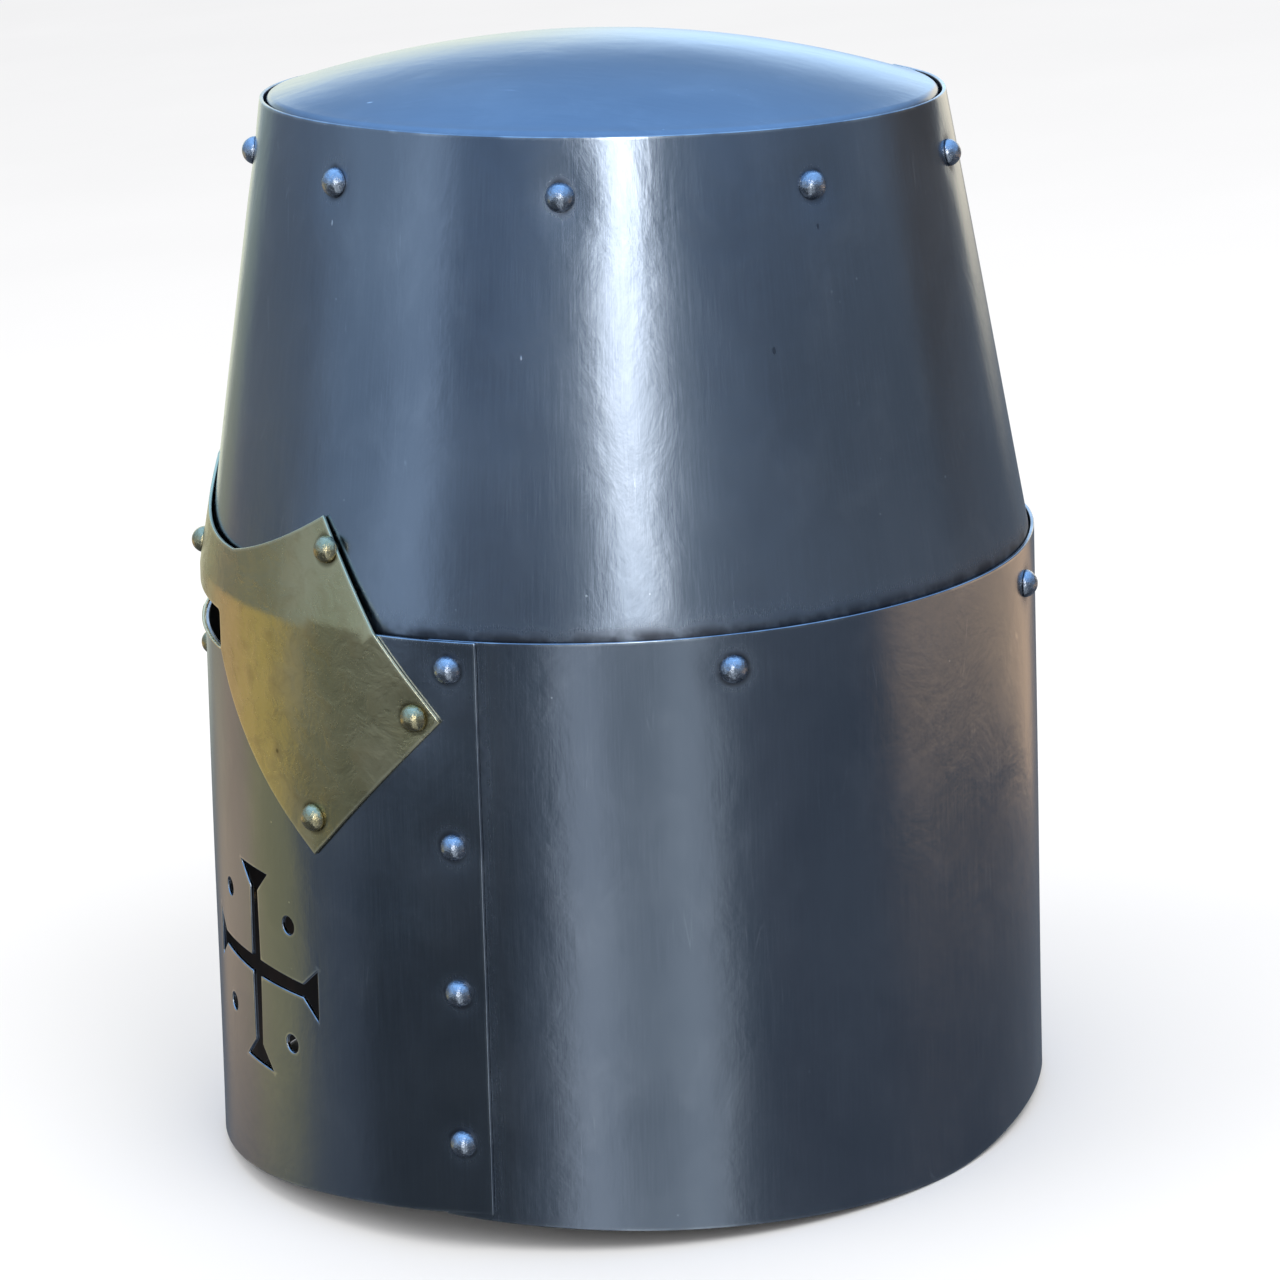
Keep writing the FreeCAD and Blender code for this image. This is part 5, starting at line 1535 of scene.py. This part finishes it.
SKY = ((-1.0, (0.05, 0.06, 0.08)), (-0.5, (0.125, 0.15, 0.19)), (-0.22, (0.155, 0.19, 0.24)),
       (-0.05, (0.22, 0.26, 0.31)), (0.16, (0.25, 0.30, 0.37)), (0.30, (0.44, 0.72, 1.15)),
       (0.55, (0.60, 1.12, 1.95)), (1.0, (0.50, 0.98, 1.80)))
HORIZON_GLOW = (200.0, 26.0, 20.0, 0.0, 0.30, 0.14, (1.30, 1.80, 2.40), 0.9)
SOFT_WHITE = (1.0, 1.0, 1.01)
BACKDROP = (0.97, 0.97, 0.97)


class WorldNodes(Nodes):
    """The same short ways for a world."""

    def __init__(self, tree):
        self.tree = tree


def studio():
    """Soft neutral light on the floor; the metal mirrors a painted room."""
    bpy.context.scene.view_settings.view_transform = "Standard"
    world = bpy.data.worlds.new("studio")
    bpy.context.scene.world = world
    world.use_nodes = True
    world.cycles.sampling_method = "NONE"
    n = WorldNodes(world.node_tree)
    split = n.add("ShaderNodeSeparateXYZ")
    n.link(n.add("ShaderNodeTexCoord").outputs["Generated"], split.inputs[0])
    x, y, z = split.outputs
    bearing = n.math("ARCTAN2", y, x)
    sky = n.add("ShaderNodeValToRGB")
    sky.color_ramp.interpolation = "EASE"
    n.link(n.ramp(z, -1.0, 1.0, 0.0, 1.0, False), sky.inputs[0])
    stops = sky.color_ramp.elements
    for k, (height, colour) in enumerate(SKY):
        stop = stops[k] if k < 2 else stops.new(0.5)
        stop.position = 0.5 + 0.5 * height
        stop.color = (*colour, 1.0)
    shade = sky.outputs[0]
    for at, half, soft, low, high, edge, colour, share in [HORIZON_GLOW] + REFLECTORS:
        turned = n.math("SUBTRACT", bearing, math.radians(at))
        wrapped = n.add("ShaderNodeMath", operation="WRAP")
        n.link(turned, wrapped.inputs[0])
        wrapped.inputs[1].default_value = math.pi
        wrapped.inputs[2].default_value = -math.pi
        off = n.math("ABSOLUTE", wrapped.outputs[0])
        across = n.ramp(off, math.radians(half), math.radians(half + soft), 1.0, 0.0)
        above = n.ramp(z, low - edge, low + edge)
        below = n.ramp(z, high - edge, high + edge, 1.0, 0.0)
        mask = n.math("MULTIPLY", n.math("MULTIPLY", across, above), n.math("MULTIPLY", below, share))
        shade = n.mix(mask, shade, colour)
    path = n.add("ShaderNodeLightPath")
    shade = n.mix(path.outputs["Is Diffuse Ray"], shade, SOFT_WHITE)
    shade = n.mix(path.outputs["Is Camera Ray"], shade, BACKDROP)
    background = world.node_tree.nodes["Background"]
    n.link(shade, background.inputs["Color"])
    background.inputs["Strength"].default_value = 1.0
    for name, bearing_deg, height, distance, size, power in SOFTBOXES:
        data = bpy.data.lights.new(name, "AREA")
        data.shape = "DISK"
        data.size = size
        data.energy = power
        light = bpy.data.objects.new(name, data)
        turn = math.radians(bearing_deg)
        spot = Vector((math.cos(turn) * distance, math.sin(turn) * distance, height))
        light.location = spot
        light.rotation_euler = (Vector((0, 0, 0.15)) - spot).to_track_quat("-Z", "Y").to_euler()
        light.visible_glossy = False
        bpy.context.scene.collection.objects.link(light)


# ---------------------------------------------------------------- assembly

place_camera()
plain_floor()
studio()

STEEL_SHEET = steel_material()
BRASS_SHEET = brass_material()
FITTINGS = fitting_material()
LINER = leather_material("liner_leather", (0.26, 0.14, 0.065), (0.42, 0.25, 0.12), (0.46, 0.33, 0.20))
STRAPS = leather_material("strap_leather", (0.085, 0.042, 0.020), (0.15, 0.075, 0.036),
                          (0.27, 0.17, 0.095), 7.6)
THREADS = thread_material("linen_thread", (0.70, 0.62, 0.46), (0.42, 0.34, 0.22), 1.6)
CORD = thread_material("lace_cord", (0.60, 0.52, 0.38), (0.33, 0.27, 0.18), 1.1)
# Each rivet material: body tone, lighter tone, and the dark colour of the painted shade at the head's base.
RIVETS = {
    "steel_rivet": rivet_material("steel_rivets", (0.34, 0.37, 0.42), (0.52, 0.55, 0.60),
                                  (0.05, 0.05, 0.06)),
    "brass_rivet": rivet_material("brass_rivets", (0.44, 0.36, 0.19), (0.60, 0.52, 0.32),
                                  (0.10, 0.07, 0.03)),
}


def finish_piece(obj, node, material, body="shell"):
    obj.data.materials.append(material)
    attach(obj, body)
    if node is not None:
        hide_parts(node)


for make, node in ((crown_plate, "crown_plate"), (skull_plate, "skull_plate"),
                   (face_plate, "face_plate"), (nape_plate, "nape_plate")):
    finish_piece(make(), node, STEEL_SHEET)
finish_piece(brass_cross(), "brass_cross", BRASS_SHEET)
for seed, (name, node, places, slot) in enumerate(rivets()):
    finish_piece(rivet_mesh(name, places, seed), node, RIVETS[slot])

finish_piece(liner_band(), "liner_band", LINER)
finish_piece(band_stitches(), None, THREADS)
for index in range(TONGUES):
    leaf, sewing = tongue(index)
    finish_piece(leaf, "liner_tongue_%d" % (index + 1), LINER)
    finish_piece(sewing, None, THREADS)
finish_piece(lace(), "liner_lace", CORD)
for name, node, piece in straps():
    slot = "lace_cord" if node is None else "strap_leather"
    finish_piece(piece, node, THREADS if node is None else STRAPS, "chin_strap")

for node in ("strap_hanger_left", "strap_hanger_right", "strap_eyelet_left", "strap_eyelet_right",
             "buckle_frame", "buckle_prong"):
    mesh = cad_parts[node].data
    mesh.materials.clear()
    mesh.materials.append(FITTINGS)
